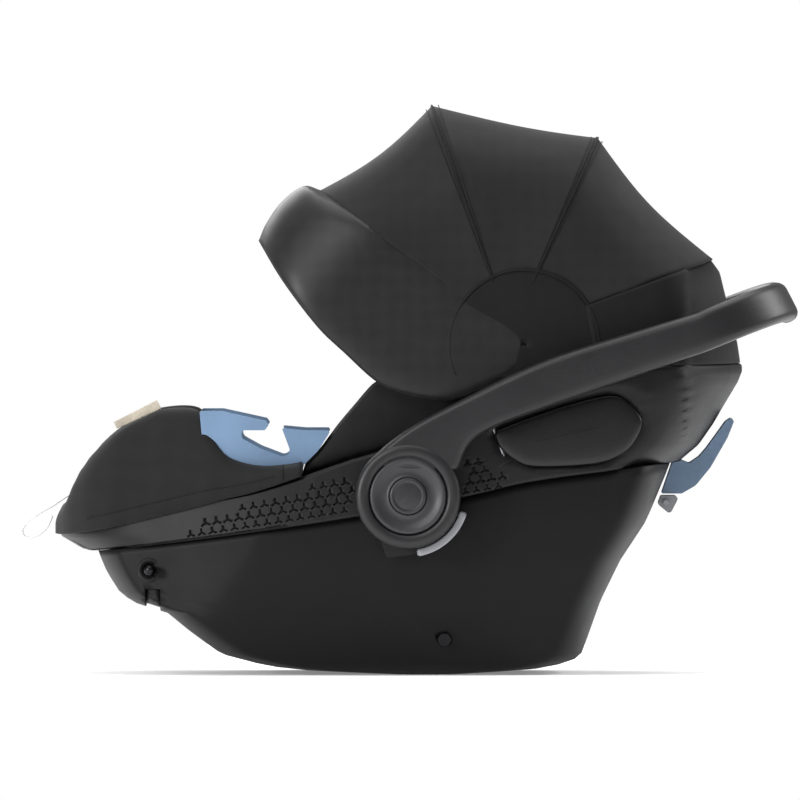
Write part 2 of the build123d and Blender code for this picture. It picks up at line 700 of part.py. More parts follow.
eye_radius = 9.0
visor_link = 150.0
bows = (("rear", rear_bow, leg_rear), ("mid", mid_bow, leg_mid), ("front", front_bow, leg_front))
for name, (reach, angle), leg_in in bows:
    leg_out = leg_in + bow_band
    with BuildPart() as canopy_rib:
        with BuildSketch(bow_plane(angle)):
            add(bow_band_outline(reach - bow_drop, leg_out, 0, bow_band))
        extrude(amount=bow_strip / 2, both=True)
        for side in (-1, 1):
            add(cross_rod(canopy_x, canopy_z, eye_radius, leg_in, leg_out, side))
            if name == "front":
                x, z = polar(visor_link, angle + 1)
                add(cross_rod(x, z, 5, leg_out - 1, visor_out - 3.5, side))
        add(cross_rod(canopy_x, canopy_z, pivot_pin_radius + running_gap, -span, span), mode=Mode.SUBTRACT)
    export(canopy_rib.part, f"canopy_rib_{name}")

panels = (
    ("rear", rear_seam, rear_bow), ("mid", rear_bow, mid_bow),
    ("front", mid_bow, (front_bow[0], front_bow[1] - 6.0)),
)
seam_gap = 0.15  # degrees
for name, (start_reach, start_angle), (end_reach, end_angle) in panels:
    with BuildPart() as canopy_fabric:
        for reach, angle in ((start_reach, start_angle + seam_gap), (end_reach, end_angle - seam_gap)):
            with BuildSketch(bow_plane(angle)):
                add(bow_band_outline(reach, cloth_out, panel_foot, fabric))
        loft(ruled=True)
    export(canopy_fabric.part, f"canopy_fabric_{name}")

visor_line = [
    (-101, 453), (-114, 459), (-137, 444), (-151, 423), (-157, 406), (-133, 368), (-101, 326), (-75, 301),
    (-47, 274), (-25, 264), (5, 257), (28, 255), (86, 284), (97, 298), (94, 317), (85, 333), (70, 345),
    (42, 359), (2, 387),
]
visor_radii = [3, 10, 20, 20, 12, 60, 60, 60, 30, 30, 30, 12, 20, 10, 10, 10, 20, 60, 100]
visor_wall = 3.5
visor_hollow = [
    (-94, 452), (-114, 448), (-131, 436), (-142, 419), (-147, 404), (-170, 370), (-60, 200), (200, 200),
    (200, 600), (-94, 600),
]
visor_reach = 250.0


def visor_block(points, radii, inset):
    """Side-view outline across the visor, its corners rounded over from side to side."""
    half_width = visor_out - inset
    with BuildPart() as block:
        add(cross_prism(points, span, radii))
        with BuildSketch(bow_plane(152)):
            add(outline([(-half_width, -160), (half_width, -160), (half_width, visor_reach - inset),
                         (-half_width, visor_reach - inset)],
                        [0, 0, bow_corner - inset, bow_corner - inset]))
        extrude(amount=floor_height, both=True, mode=Mode.INTERSECT)
    return block.part


with BuildPart() as canopy_visor:
    add(visor_block(visor_line, visor_radii, 0))
    add(visor_block(visor_hollow, None, visor_wall), mode=Mode.SUBTRACT)
export(canopy_visor.part, "canopy_visor")

skirt_line = [(150, 300), (148, 340), (200, 363), (269, 389), (279, 376), (290, 340), (296, 310), (298, 293),
              (216, 291), (165, 275)]
with BuildPart() as canopy_skirt:
    skirt_plan = rim_half_width - cloth_out
    add(tub(0, skirt_plan, None, skirt_line))
    add(tub(0, skirt_plan + fabric, None, [(140, 200), (140, 500), (310, 500), (310, 200)]),
        mode=Mode.SUBTRACT)
    with BuildSketch(bow_plane(rear_seam[1] - 0.6)):
        Rectangle(span, 700)
    extrude(amount=-200, mode=Mode.SUBTRACT)
export(canopy_skirt.part, "canopy_skirt")

gusset_radius = 68.0
gusset_x, gusset_z = 93.0, 309.0
gusset_depth = 1.2
with BuildPart() as canopy_gussets:
    for side in (-1, 1):
        with BuildSketch(side_plane(side * gusset_in)):
            with Locations((gusset_x, gusset_z)):
                Circle(gusset_radius)
            add(outline([(0, 600), (0, 276), (146, 276), (200, 300), (200, 600)]), mode=Mode.INTERSECT)
        extrude(amount=-side * gusset_depth)
export(canopy_gussets.part, "canopy_gussets")

shelf_low = height_on(rim_line, 112) + 1.5
shelf_high = shelf_low + 8.0
bracket_line = [(58, shelf_low), (58, 300), (68, 326), (80, 336), (92, 326), (104, 300), (112, shelf_high)]
foot_line = [(56, 212), (56, shelf_high), (112, shelf_high), (112, 224)]
shelf_line = [(56, shelf_low), (56, shelf_high), (112, shelf_high), (112, shelf_low)]
wall_face = rim_half_width - rim_wall
for side, name in ((-1, "left"), (1, "right")):
    with BuildPart() as canopy_bracket:
        add(side_slab(bracket_line, bracket_in, bracket_out, side, [0, 20, 12, 11.5, 12, 20, 0]))
        add(side_slab(shelf_line, bracket_in, wall_face, side))
        add(side_slab(foot_line, wall_face - 5, wall_face, side))
        add(cross_rod(canopy_x, canopy_z, pivot_pin_radius, -span, span), mode=Mode.SUBTRACT)
    export(canopy_bracket.part, f"canopy_bracket_{name}")

with BuildPart() as canopy_pivot_pins:
    for side in (-1, 1):
        add(cross_rod(canopy_x, canopy_z, pivot_pin_radius, bracket_in, leg_front + bow_band, side))
        add(cross_rod(canopy_x, canopy_z, eye_radius - 2, bracket_in - 2, bracket_in, side))
export(canopy_pivot_pins.part, "canopy_pivot_pins")

# ---------------------------------------------------------------- harness
strap_y = 44.0  # middle of each strap
strap_lift = pad_depth + 0.4
buckle_foot, buckle_top = (-62.0, 96.0), (-40.0, 146.0)
buckle_angle = degrees(atan2(buckle_top[1] - buckle_foot[1], buckle_top[0] - buckle_foot[0]))
buckle_depth = 16.0
buckle_plane = Plane(origin=((buckle_foot[0] + buckle_top[0]) / 2, 0, (buckle_foot[1] + buckle_top[1]) / 2),
                     x_dir=(0, 1, 0), z_dir=(sin(radians(buckle_angle)), 0, -cos(radians(buckle_angle))))
buckle_length = hypot(buckle_top[0] - buckle_foot[0], buckle_top[1] - buckle_foot[1])
button_width, button_height, button_press = 24.0, 18.0, 3.0


def strap(points, inner, outer, side, thickness=webbing):
    """Flat webbing that follows side-view points, between two distances from the middle."""
    with BuildPart() as web:
        with BuildSketch(side_plane(side * inner)):
            with BuildLine():
                FilletPolyline(*points, radius=5)
            trace(line_width=thickness)
        extrude(amount=-side * (outer - inner))
    return web.part


strap_in, strap_out = strap_y - webbing_width / 2, strap_y + webbing_width / 2
shoulder_end = back_outline([(70, strap_lift + webbing / 2), (16, strap_lift + webbing / 2)])
strap_meet = (-36.0, 140.0)  # where the webbing doubles back through the tongue
hip_end = (12.0, 100.0)

for side, name in ((-1, "left"), (1, "right")):
    with BuildPart() as harness_strap:
        add(strap(shoulder_end + [(0, 132), strap_meet, (-40, 133), (-20, 112), hip_end],
                  strap_in, strap_out, side))
    export(harness_strap.part, f"harness_strap_{name}")

with BuildPart() as shoulder_pads:
    for side in (-1, 1):
        lift = strap_lift + webbing + layer_gap
        pad = back_outline([(62, lift), (62, lift + 8), (24, lift + 8), (24, lift)])
        add(side_slab(pad, strap_in - 4, strap_out + 4, side, [2, 3, 3, 2]))
export(shoulder_pads.part, "shoulder_pads")

with BuildPart() as buckle_body:
    with BuildSketch(buckle_plane):
        RectangleRounded(buckle_width, buckle_length, 9)
    extrude(amount=buckle_depth / 2, both=True)
    with BuildSketch(buckle_plane.offset(-buckle_depth / 2)):
        RectangleRounded(button_width + 0.8, button_height + 0.8, 4.4)
    extrude(amount=button_press + 4.0, mode=Mode.SUBTRACT)
export(buckle_body.part, "buckle_body")

crotch_half_width = 18.0
with BuildPart() as crotch_strap:
    web_start = above_seat(-86, back_depth + pad_depth) + 1.4
    add(strap([(-86, web_start), (-76, web_start), buckle_foot], -crotch_half_width, crotch_half_width, 1))
    add(buckle_body.part, mode=Mode.SUBTRACT)
export(crotch_strap.part, "crotch_strap")

with BuildPart() as buckle_button:
    with BuildSketch(buckle_plane.offset(-buckle_depth / 2 - 0.5)):
        RectangleRounded(button_width, button_height, 4)
    extrude(amount=4.2)
export(buckle_button.part, "buckle_button")

with BuildPart() as buckle_tongues:
    for side in (-1, 1):
        add(side_slab([(-46, 140), (-36, 148), (-24, 148), (-24, 144), (-40, 138)],
                      buckle_width / 2 + 0.4, strap_in - 0.4, side))
export(buckle_tongues.part, "buckle_tongues")

adjuster_x, adjuster_z = -300.0, 176.0
press = 3.0
with BuildPart() as adjuster_housing:
    with Locations((adjuster_x, 0, adjuster_z)):
        Box(36, 46, 18)
    with Locations((adjuster_x + 2, 0, adjuster_z + 9)):
        Box(22.8, 24.8, 2 * (press + 2), mode=Mode.SUBTRACT)
export(adjuster_housing.part, "adjuster_housing")

with BuildPart() as adjuster_button:
    with Locations((adjuster_x + 2, 0, adjuster_z + 9)):
        Box(22, 24, 4)
    fillet(faces().sort_by(Axis.Z)[-1].edges(), radius=1.2)
export(adjuster_button.part, "adjuster_button")

loop_line = [
    (adjuster_x - 18.2, 174), (-332, 168), (-349.5, 156.5), (-362, 150), (-377, 138), (-379, 131),
    (-373, 127), (-364, 128), (-352.5, 138), (-349.8, 148),
]
loop_half_width = 10.0
with BuildPart() as adjuster_strap:
    with BuildSketch(Plane.XZ):
        with BuildLine():
            Polyline(*loop_line)
        trace(line_width=2.0)
    extrude(amount=loop_half_width, both=True)
    add(adjuster_housing.part, mode=Mode.SUBTRACT)
export(adjuster_strap.part, "adjuster_strap")

tab_line = [(-291, 236.5), (-251, 257), (-246, 247), (-287, 226.5)]
with BuildPart() as label_tab:
    add(side_slab(tab_line, guide_inner - 12.0, guide_inner - 10.8, -1))
    add(leg_cover.part, mode=Mode.SUBTRACT)
export(label_tab.part, "label_tab")
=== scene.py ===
"""Infant car seat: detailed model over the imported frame. Lengths in the helpers are millimetres."""
import math

import bmesh
import bpy
import numpy as np
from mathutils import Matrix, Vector


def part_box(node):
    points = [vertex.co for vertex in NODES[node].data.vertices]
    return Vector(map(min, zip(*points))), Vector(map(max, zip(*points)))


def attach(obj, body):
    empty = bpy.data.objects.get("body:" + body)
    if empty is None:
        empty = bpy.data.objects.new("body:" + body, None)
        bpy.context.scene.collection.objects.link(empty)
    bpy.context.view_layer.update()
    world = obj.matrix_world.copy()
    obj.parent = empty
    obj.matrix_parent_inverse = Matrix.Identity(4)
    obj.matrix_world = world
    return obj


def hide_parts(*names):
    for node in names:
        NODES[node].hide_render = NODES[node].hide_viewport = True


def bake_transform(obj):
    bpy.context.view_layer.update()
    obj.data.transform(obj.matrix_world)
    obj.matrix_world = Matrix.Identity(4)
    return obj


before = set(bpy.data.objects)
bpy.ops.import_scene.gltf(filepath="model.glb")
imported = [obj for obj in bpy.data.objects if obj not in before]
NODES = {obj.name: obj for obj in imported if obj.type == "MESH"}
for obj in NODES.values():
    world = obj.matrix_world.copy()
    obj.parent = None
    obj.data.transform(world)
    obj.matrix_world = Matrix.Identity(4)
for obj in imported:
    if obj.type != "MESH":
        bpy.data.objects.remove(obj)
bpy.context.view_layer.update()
MM = 0.001
SIDES = (("left", -1), ("right", 1))
LINER_INSET = 8.5


# ------------------------------------------------------------------ camera, floor, light
def aim(obj, target):
    obj.rotation_euler = (Vector(target) - obj.location).to_track_quat("-Z", "Y").to_euler()


def add_light(name, place, target, size, power, colour=(1, 1, 1)):
    data = bpy.data.lights.new(name, "AREA")
    data.shape, data.size, data.size_y, data.energy, data.color = "RECTANGLE", *size, power, colour
    obj = bpy.data.objects.new(name, data)
    bpy.context.collection.objects.link(obj)
    obj.location = place
    aim(obj, target)


camera_data = bpy.data.cameras.new("camera")
camera_data.sensor_width = 36.0
camera = bpy.data.objects.new("camera", camera_data)
bpy.context.collection.objects.link(camera)
camera.location = (-0.0235, -30.0, 0.50)
aim(camera, (-0.0235, 0.0, 0.256))
camera_data.lens = 36.0 * 30.0 / 0.752
camera_data.clip_end = 100
bpy.context.scene.camera = camera
bpy.context.scene.view_settings.view_transform = "Standard"

add_light("key", (-1.6, -2.4, 2.3), (-0.05, 0, 0.3), (1.6, 1.6), 44)
add_light("front_left", (-2.4, -1.9, 0.75), (-0.15, -0.1, 0.35), (0.7, 0.7), 48)
add_light("top", (0.1, 0.2, 3.0), (0, 0, 0.2), (3.2, 3.2), 84)
add_light("edge", (2.6, 0.4, 1.5), (0.1, 0, 0.3), (1.2, 2.0), 60)
add_light("back", (-1.2, 2.6, 1.8), (0, 0, 0.25), (2.2, 1.6), 45)

world = bpy.data.worlds.new("studio")
bpy.context.scene.world = world
world.use_nodes = True
back = world.node_tree.nodes["Background"]
back.inputs["Color"].default_value = (1, 1, 1, 1)
back.inputs["Strength"].default_value = 0.24
seen = world.node_tree.nodes.new("ShaderNodeBackground")
seen.inputs["Color"].default_value = (1, 1, 1, 1)
seen.inputs["Strength"].default_value = 1.0
ray = world.node_tree.nodes.new("ShaderNodeLightPath")
pick = world.node_tree.nodes.new("ShaderNodeMixShader")
world.node_tree.links.new(ray.outputs["Is Camera Ray"], pick.inputs[0])
world.node_tree.links.new(back.outputs[0], pick.inputs[1])
world.node_tree.links.new(seen.outputs[0], pick.inputs[2])
world.node_tree.links.new(pick.outputs[0], world.node_tree.nodes["World Output"].inputs[0])


# ------------------------------------------------------------------ materials
def linear(grey):
    return tuple((c / 255 / 12.92) if c < 11 else ((c / 255 + 0.055) / 1.055) ** 2.4 for c in grey)


class Shader:
    """Node tree of one procedural material, built step by step."""

    def __init__(self, name, metal=0.0, specular=0.5, sheen=0.0, coat=0.0):
        self.mat = bpy.data.materials.new(name)
        self.mat.use_nodes = True
        self.tree = self.mat.node_tree
        self.out = self.tree.nodes["Principled BSDF"]
        self.out.inputs["Metallic"].default_value = metal
        self.out.inputs["Specular IOR Level"].default_value = specular
        self.out.inputs["Sheen Weight"].default_value = sheen
        self.out.inputs["Sheen Roughness"].default_value = 0.5
        self.out.inputs["Coat Weight"].default_value = coat
        self.where = self.tree.nodes.new("ShaderNodeTexCoord").outputs["Object"]

    def node(self, kind, values=(), **attributes):
        made = self.tree.nodes.new(kind)
        for key, value in attributes.items():
            setattr(made, key, value)
        for key, value in dict(values).items():
            if hasattr(value, "links"):
                self.tree.links.new(value, made.inputs[key])
            else:
                made.inputs[key].default_value = value
        return made

    def math(self, operation, a, b=0.0):
        return self.node("ShaderNodeMath", {0: a, 1: b}, operation=operation).outputs[0]

    def noise(self, scale, detail=3.0):
        values = {"Vector": self.where, "Scale": scale, "Detail": detail}
        return self.node("ShaderNodeTexNoise", values).outputs["Fac"]

    def weave(self, pitch):
        """Fine woven surface on any side of an object; pitch in millimetres."""
        total = None
        for axis in "XYZ":
            values = {"Vector": self.where, "Scale": 314.0 / pitch / 20, "Distortion": 3.0, "Detail": 2.0,
                      "Detail Scale": 2.0}
            wave = self.node("ShaderNodeTexWave", values, bands_direction=axis).outputs["Fac"]
            total = wave if total is None else self.math("ADD", total, wave)
        return self.math("MULTIPLY", total, 0.333)

    def grains(self, scale):
        values = {"Vector": self.where, "Scale": scale}
        return self.node("ShaderNodeTexVoronoi", values).outputs["Distance"]

    def colour(self, dark, light, by):
        ramp = self.node("ShaderNodeValToRGB", {"Fac": by})
        ramp.color_ramp.elements[0].color = (*linear(dark), 1)
        ramp.color_ramp.elements[1].color = (*linear(light), 1)
        ramp.color_ramp.elements[0].position = 0.3
        ramp.color_ramp.elements[1].position = 0.7
        return ramp.outputs["Color"]

    def worn(self, base, light, amount):
        """Edges rub a little lighter."""
        edge = self.node("ShaderNodeNewGeometry").outputs["Pointiness"]
        mask = self.node("ShaderNodeMapRange", {"Value": edge, "From Min": 0.52, "From Max": 0.62,
                         "To Max": amount}).outputs[0]
        mask = self.math("MULTIPLY", mask, self.noise(60))
        return self.rgba_mix(mask, base, (*linear(light), 1))

    def rgba_mix(self, mask, a, b):
        """Mix of two colours; sockets 6 and 7 are the Mix node's colour inputs."""
        mixed = self.node("ShaderNodeMix", {"Factor": mask}, data_type="RGBA")
        for socket, value in ((6, a), (7, b)):
            if hasattr(value, "links"):
                self.tree.links.new(value, mixed.inputs[socket])
            else:
                mixed.inputs[socket].default_value = value
        return mixed.outputs[2]

    def finish(self, colour, rough, spread, height, strength, depth):
        """Wires colour, a varying roughness and a bump of the given depth in millimetres."""
        self.tree.links.new(colour, self.out.inputs["Base Color"])
        varied = self.node("ShaderNodeMapRange", {"Value": self.noise(35), "To Min": rough - spread,
                           "To Max": rough + spread}).outputs[0]
        self.tree.links.new(varied, self.out.inputs["Roughness"])
        bump = self.node("ShaderNodeBump", {"Height": height, "Strength": strength,
                         "Distance": depth * MM})
        self.tree.links.new(bump.outputs[0], self.out.inputs["Normal"])
        return self.mat


def moulded(name, tone, rough=0.5, specular=0.4, grain=900, strength=0.25, depth=0.25, wear=0.35, coat=0.0):
    s = Shader(name, specular=specular, coat=coat)
    dark, light = [c * 0.93 for c in tone], [min(255, c * 1.07) for c in tone]
    base = s.colour(dark, light, s.noise(14, 4))
    base = s.worn(base, [min(255, c + 34) for c in tone], wear)
    height = s.math("ADD", s.grains(grain), s.math("MULTIPLY", s.noise(grain * 0.7), 0.8))
    return s.finish(base, rough, 0.06, height, strength, depth)


def cloth(name, tone, pitch=0.9, rough=0.85, sheen=0.05, contrast=0.07, folds=0.0):
    s = Shader(name, specular=0.25, sheen=sheen)
    weave = s.weave(pitch)
    mottled = s.math("ADD", s.math("MULTIPLY", weave, 0.7), s.math("MULTIPLY", s.noise(420, 2), 0.3))
    base = s.colour([c * (1 - contrast) for c in tone], [min(255, c * (1 + contrast)) for c in tone], mottled)
    height = s.math("ADD", weave, s.math("MULTIPLY", s.noise(28, 4), folds))
    return s.finish(base, rough, 0.07, height, 0.3, 0.3)


def metal(name, tone, rough):
    s = Shader(name, metal=1.0)
    base = s.colour([c * 0.95 for c in tone], tone, s.noise(50, 5))
    return s.finish(base, rough, 0.08, s.noise(700, 3), 0.15, 0.1)


SHELL = moulded("shell_plastic", (9, 9, 10), rough=0.55, specular=0.2, grain=700)
RIM = moulded("rim_plastic", (17, 17, 18), rough=0.5, specular=0.28, grain=800)
HANDLE = moulded("handle_plastic", (27, 27, 29), rough=0.42, specular=0.42, grain=900, wear=0.5)
GRIP = moulded("grip_rubber", (20, 20, 22), rough=0.72, specular=0.3, grain=420, strength=0.5)
POD = moulded("pod_plastic", (12, 12, 13), rough=0.34, specular=0.42, grain=900)
DISH = moulded("dish_plastic", (46, 46, 49), rough=0.42, specular=0.45, grain=900)
CAP = moulded("cap_plastic", (38, 38, 40), rough=0.36, specular=0.45, grain=1000)
BLACK = moulded("black_plastic", (16, 16, 17), rough=0.5, specular=0.3, grain=900)
BLUE = moulded("blue_plastic", (104, 129, 158), rough=0.42, grain=800, strength=0.18, wear=0.15)
BLUE_DEEP = moulded("blue_plastic_rear", (112, 134, 160), rough=0.45, grain=800, strength=0.18, wear=0.15)
GREY = moulded("grey_plastic", (146, 147, 152), rough=0.3, specular=0.55, grain=900, strength=0.1, wear=0.1,
               coat=0.3)
RED = moulded("red_plastic", (170, 28, 24), rough=0.35, grain=900, strength=0.1, wear=0.1, coat=0.2)
FOAM = moulded("bead_foam", (44, 44, 46), rough=0.9, specular=0.2, grain=260, strength=0.8, depth=0.6)
STEEL = metal("steel", (170, 170, 174), 0.3)
DARK_STEEL = metal("dark_steel", (46, 46, 49), 0.32)
COVER = cloth("cover_cloth", (23, 23, 23), pitch=1.1)
INLAY = cloth("inlay_cloth", (33, 33, 35), pitch=1.6, rough=0.9, sheen=0.1)
CANOPY = cloth("canopy_cloth", (25, 25, 26), pitch=0.8, rough=0.75)
DEEP = cloth("gusset_cloth", (15, 15, 16), pitch=0.8, rough=0.8, sheen=0.03)
VISOR = cloth("visor_cloth", (31, 31, 32), pitch=0.8, rough=0.42)
BELT = cloth("webbing", (30, 30, 31), pitch=1.9, rough=0.6, contrast=0.2)
PALE_BELT = cloth("pale_webbing", (226, 227, 230), pitch=1.6, rough=0.7, contrast=0.05)
BEIGE = cloth("label_cloth", (168, 160, 146), pitch=1.0, contrast=0.08)
FLOOR = cloth("floor_paint", (250, 250, 250), pitch=40, contrast=0.005, sheen=0.0)
FLOOR.node_tree.nodes["Principled BSDF"].inputs["Emission Color"].default_value = (1, 1, 1, 1)
FLOOR.node_tree.nodes["Principled BSDF"].inputs["Emission Strength"].default_value = 0.22


# ------------------------------------------------------------------ mesh helpers
def make(name, verts, faces, mat, body=None, flat=False):
    mesh = bpy.data.meshes.new(name)
    mesh.from_pydata([tuple(v) for v in np.asarray(verts, float) * MM], [], faces)
    mesh.materials.append(mat)
    work = bmesh.new()
    work.from_mesh(mesh)
    bmesh.ops.remove_doubles(work, verts=work.verts, dist=2e-6)
    bmesh.ops.recalc_face_normals(work, faces=work.faces)
    for face in work.faces:
        face.smooth = not flat
    work.to_mesh(mesh)
    work.free()
    obj = bpy.data.objects.new(name, mesh)
    bpy.context.collection.objects.link(obj)
    if body:
        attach(obj, body)
    return obj


def sheet_faces(nu, nv, wrap_u=False, wrap_v=False):
    return [[i * nv + j, ((i + 1) % nu) * nv + j, ((i + 1) % nu) * nv + (j + 1) % nv, i * nv + (j + 1) % nv]
            for i in range(nu if wrap_u else nu - 1) for j in range(nv if wrap_v else nv - 1)]


def grid(name, points, mat, body=None, wrap_u=False, wrap_v=False, caps=()):
    """Surface through an array of points; caps names end rows, 0 or -1, that are closed."""
    nu, nv = points.shape[:2]
    faces = sheet_faces(nu, nv, wrap_u, wrap_v)
    for row in caps:
        first = (nu - 1) * nv if row == -1 else 0
        faces.append([first + j for j in range(nv)])
    return make(name, points.reshape(-1, 3), faces, mat, body)


def apply_all(obj):
    """Makes the modified shape the mesh."""
    graph = bpy.context.evaluated_depsgraph_get()
    mesh = bpy.data.meshes.new_from_object(obj.evaluated_get(graph))
    obj.modifiers.clear()
    obj.data = mesh
    return obj


def thicken(obj, depth, inward=True):
    solid = obj.modifiers.new("thick", "SOLIDIFY")
    solid.thickness = depth * MM
    solid.offset = -1.0 if inward else 1.0
    return obj


def refine(obj, levels=1):
    sub = obj.modifiers.new("fine", "SUBSURF")
    sub.levels = sub.render_levels = levels
    return obj


def curve(points, count):
    """Smooth line through points, resampled evenly."""
    p = np.asarray(points, float)
    q = np.vstack([2 * p[0] - p[1], p, 2 * p[-1] - p[-2]])
    t = np.linspace(0, 1, 24, endpoint=False)[:, None]
    out = []
    for a, b, c, d in zip(q, q[1:], q[2:], q[3:]):
        square, cube = 2 * a - 5 * b + 4 * c - d, 3 * b - a - 3 * c + d
        out.append(0.5 * (2 * b + (c - a) * t + square * t**2 + cube * t**3))
    line = np.vstack(out + [p[-1:]])
    return even(line, count)


def even(line, count):
    line = np.asarray(line, float)
    run = np.concatenate([[0], np.cumsum(np.linalg.norm(np.diff(line, axis=0), axis=1))])
    at = np.linspace(0, run[-1], count)
    return np.stack([np.interp(at, run, line[:, k]) for k in range(line.shape[1])], axis=1)


def ease(x, low, high):
    t = np.clip((np.asarray(x, float) - low) / (high - low), 0, 1)
    return t * t * (3 - 2 * t)


def inside_distance(poly, x, z):
    """Signed distance to a closed outline, positive inside."""
    poly = np.asarray(poly, float)
    a, b = poly, np.roll(poly, -1, axis=0)
    x, z = np.asarray(x, float), np.asarray(z, float)
    best = np.full(x.shape, 1e9)
    inside = np.zeros(x.shape, bool)
    for (x0, z0), (x1, z1) in zip(a, b):
        dx, dz = x1 - x0, z1 - z0
        t = np.clip(((x - x0) * dx + (z - z0) * dz) / (dx * dx + dz * dz), 0, 1)
        best = np.minimum(best, np.hypot(x - x0 - t * dx, z - z0 - t * dz))
        if z0 != z1:
            inside ^= ((z0 > z) != (z1 > z)) & (x < (x1 - x0) * (z - z0) / (z1 - z0) + x0)
    return np.where(inside, best, -best)


def lathe(name, profile, place, side, mat, body, turns=96):
    """Round part about a cross axis; profile is (radius, distance from the middle plane)."""
    a = np.linspace(0, 2 * math.pi, turns, endpoint=False)
    rows = [[(place[0] + r * math.cos(t), side * y, place[1] + r * math.sin(t)) for r, y in profile]
            for t in a]
    return grid(name, np.array(rows), mat, body, wrap_u=True)


def tube(name, path, radius, mat, body=None, ring=8, closed=False):
    path = np.asarray(path, float)
    step = np.roll(path, -1, axis=0) - np.roll(path, 1, axis=0)
    if not closed:
        step[0], step[-1] = path[1] - path[0], path[-1] - path[-2]
    step /= np.linalg.norm(step, axis=1)[:, None]
    up = np.cross(step, (0.13, 0.31, 0.94))
    up /= np.linalg.norm(up, axis=1)[:, None]
    across = np.cross(step, up)
    a = np.linspace(0, 2 * math.pi, ring, endpoint=False)
    spoke = np.cos(a)[None, :, None] * up[:, None] + np.sin(a)[None, :, None] * across[:, None]
    rows = path[:, None] + radius * spoke
    return grid(name, rows, mat, body, wrap_u=closed, wrap_v=True, caps=() if closed else (0, -1))


def ribbon(name, path, width, depth, mat, body, y=0.0):
    """Flat webbing along side-view points, centred on y, with rounded selvedges."""
    path = np.asarray(path, float)
    step = np.gradient(path, axis=0)
    step /= np.linalg.norm(step, axis=1)[:, None]
    out = np.stack([-step[:, 1], step[:, 0]], axis=1)
    w, d = width / 2, depth / 2
    section = [(-w, 0), (-w + 0.6, d), (-w + 3, d * 0.9), (w - 3, d * 0.9), (w - 0.6, d), (w, 0),
               (w - 0.6, -d), (w - 3, -d * 0.9), (-w + 3, -d * 0.9), (-w + 0.6, -d)]
    rows = [[(p[0] + o[0] * v, y + u, p[1] + o[1] * v) for u, v in section] for p, o in zip(path, out)]
    return grid(name, np.array(rows), mat, body, wrap_v=True, caps=(0, -1))


# ------------------------------------------------------------------ shape of the shell
SPLIT = [(-343, 129.0), (-341, 128), (-321, 115.6), (-306, 115), (-185, 130), (-66, 148), (33, 166),
         (94, 180), (164, 190), (230, 197), (310, 197)]
RIM_LINE = [(-343, 131), (-282, 145), (-212, 162), (-164, 171), (-118, 185), (-70, 202), (-46, 209),
            (164, 272), (216, 289), (310, 291)]
PLAN = [(-343, 92), (-334, 102), (-300, 122), (-230, 153.5), (-190, 169.5), (-150, 181.5), (-110, 187.3),
        (-70, 188), (215, 188), (248, 176),
        (299, 126)]
BAND_FRONT = [(115, -307), (115.6, -321), (128, -341), (131, -343), (300, -343)]
BAND_BACK = [(197, 230), (199, 239), (214, 257), (234, 271), (248, 279), (273, 294), (283, 298), (291, 298)]
HUB = (-16.0, 168.0)


def on(line, x):
    line = np.asarray(line, float)
    return np.interp(x, line[:, 0], line[:, 1])


SPLIT_FINE = curve(SPLIT, 200)
RIM_FINE = curve(RIM_LINE, 200)
PLAN_FINE = curve(PLAN, 200)


def loop(z, inset, front, rear, width=None, corner=46.0, ends=18, sides=110, power=2.5):
    """Closed plan outline at height z: columns run rear, left side, front, right side.

    z is one height for each column of one half; half gives their fractions along the seat."""
    xf, xb = on(front, z) + inset, on(rear, z) - inset
    x = xf + half_fraction(xf, xb, corner, ends, sides, power) * (xb - xf)
    wide = np.interp(x, PLAN_FINE[:, 0], PLAN_FINE[:, 1]) - inset
    if width is not None:
        limit = on(width, z) - inset
        gap = np.clip((wide - limit) / 8, -30, 30)
        wide = wide - 8 * np.log1p(np.exp(gap))
    d = np.minimum(x - xf, xb - x)
    close = np.clip(d / corner, 0, 1)
    return x, wide * (1 - (1 - close) ** power) ** (1 / power)


def half_fraction(xf, xb, corner, ends, sides, power):
    a = np.linspace(0, math.pi / 2, ends, endpoint=False)
    c = (1 - np.cos(a) ** (2 / power)) * corner
    span_ = xb - xf
    c = np.concatenate([c, [0] * (sides + ends)])
    count = len(c)
    k = np.arange(count)
    middle = corner + (k - ends) / (sides - 1) * (span_ - 2 * corner)
    tail = np.concatenate([[0] * (ends + sides), corner * (1 - np.cos(a[::-1]) ** (2 / power))])
    x = np.where(k < ends, c, np.where(k < ends + sides, middle, span_ - tail))
    return x / span_


def hull(rows, front, rear, low, high, width=None, base_inset=0.0, corner=46.0, ends=18, sides=110):
    """Rows of (fraction of height, inset, lift) become a closed ring of points round the seat."""
    count = 2 * ends + sides
    made = []
    for t, inset, lift in rows:
        z = np.full(count, 150.0)
        for _ in range(12):
            x, y = loop(z, base_inset + inset, front, rear, width, corner, ends, sides)
            z = 0.5 * z + 0.5 * (on(low, x) + t * (on(high, x) - on(low, x)) + lift)
        made.append(np.stack([x, -y, z], axis=1))
    half = np.array(made).transpose(1, 0, 2)
    other = half[::-1] * (1, -1, 1)
    return np.concatenate([half, other[1:-1]])


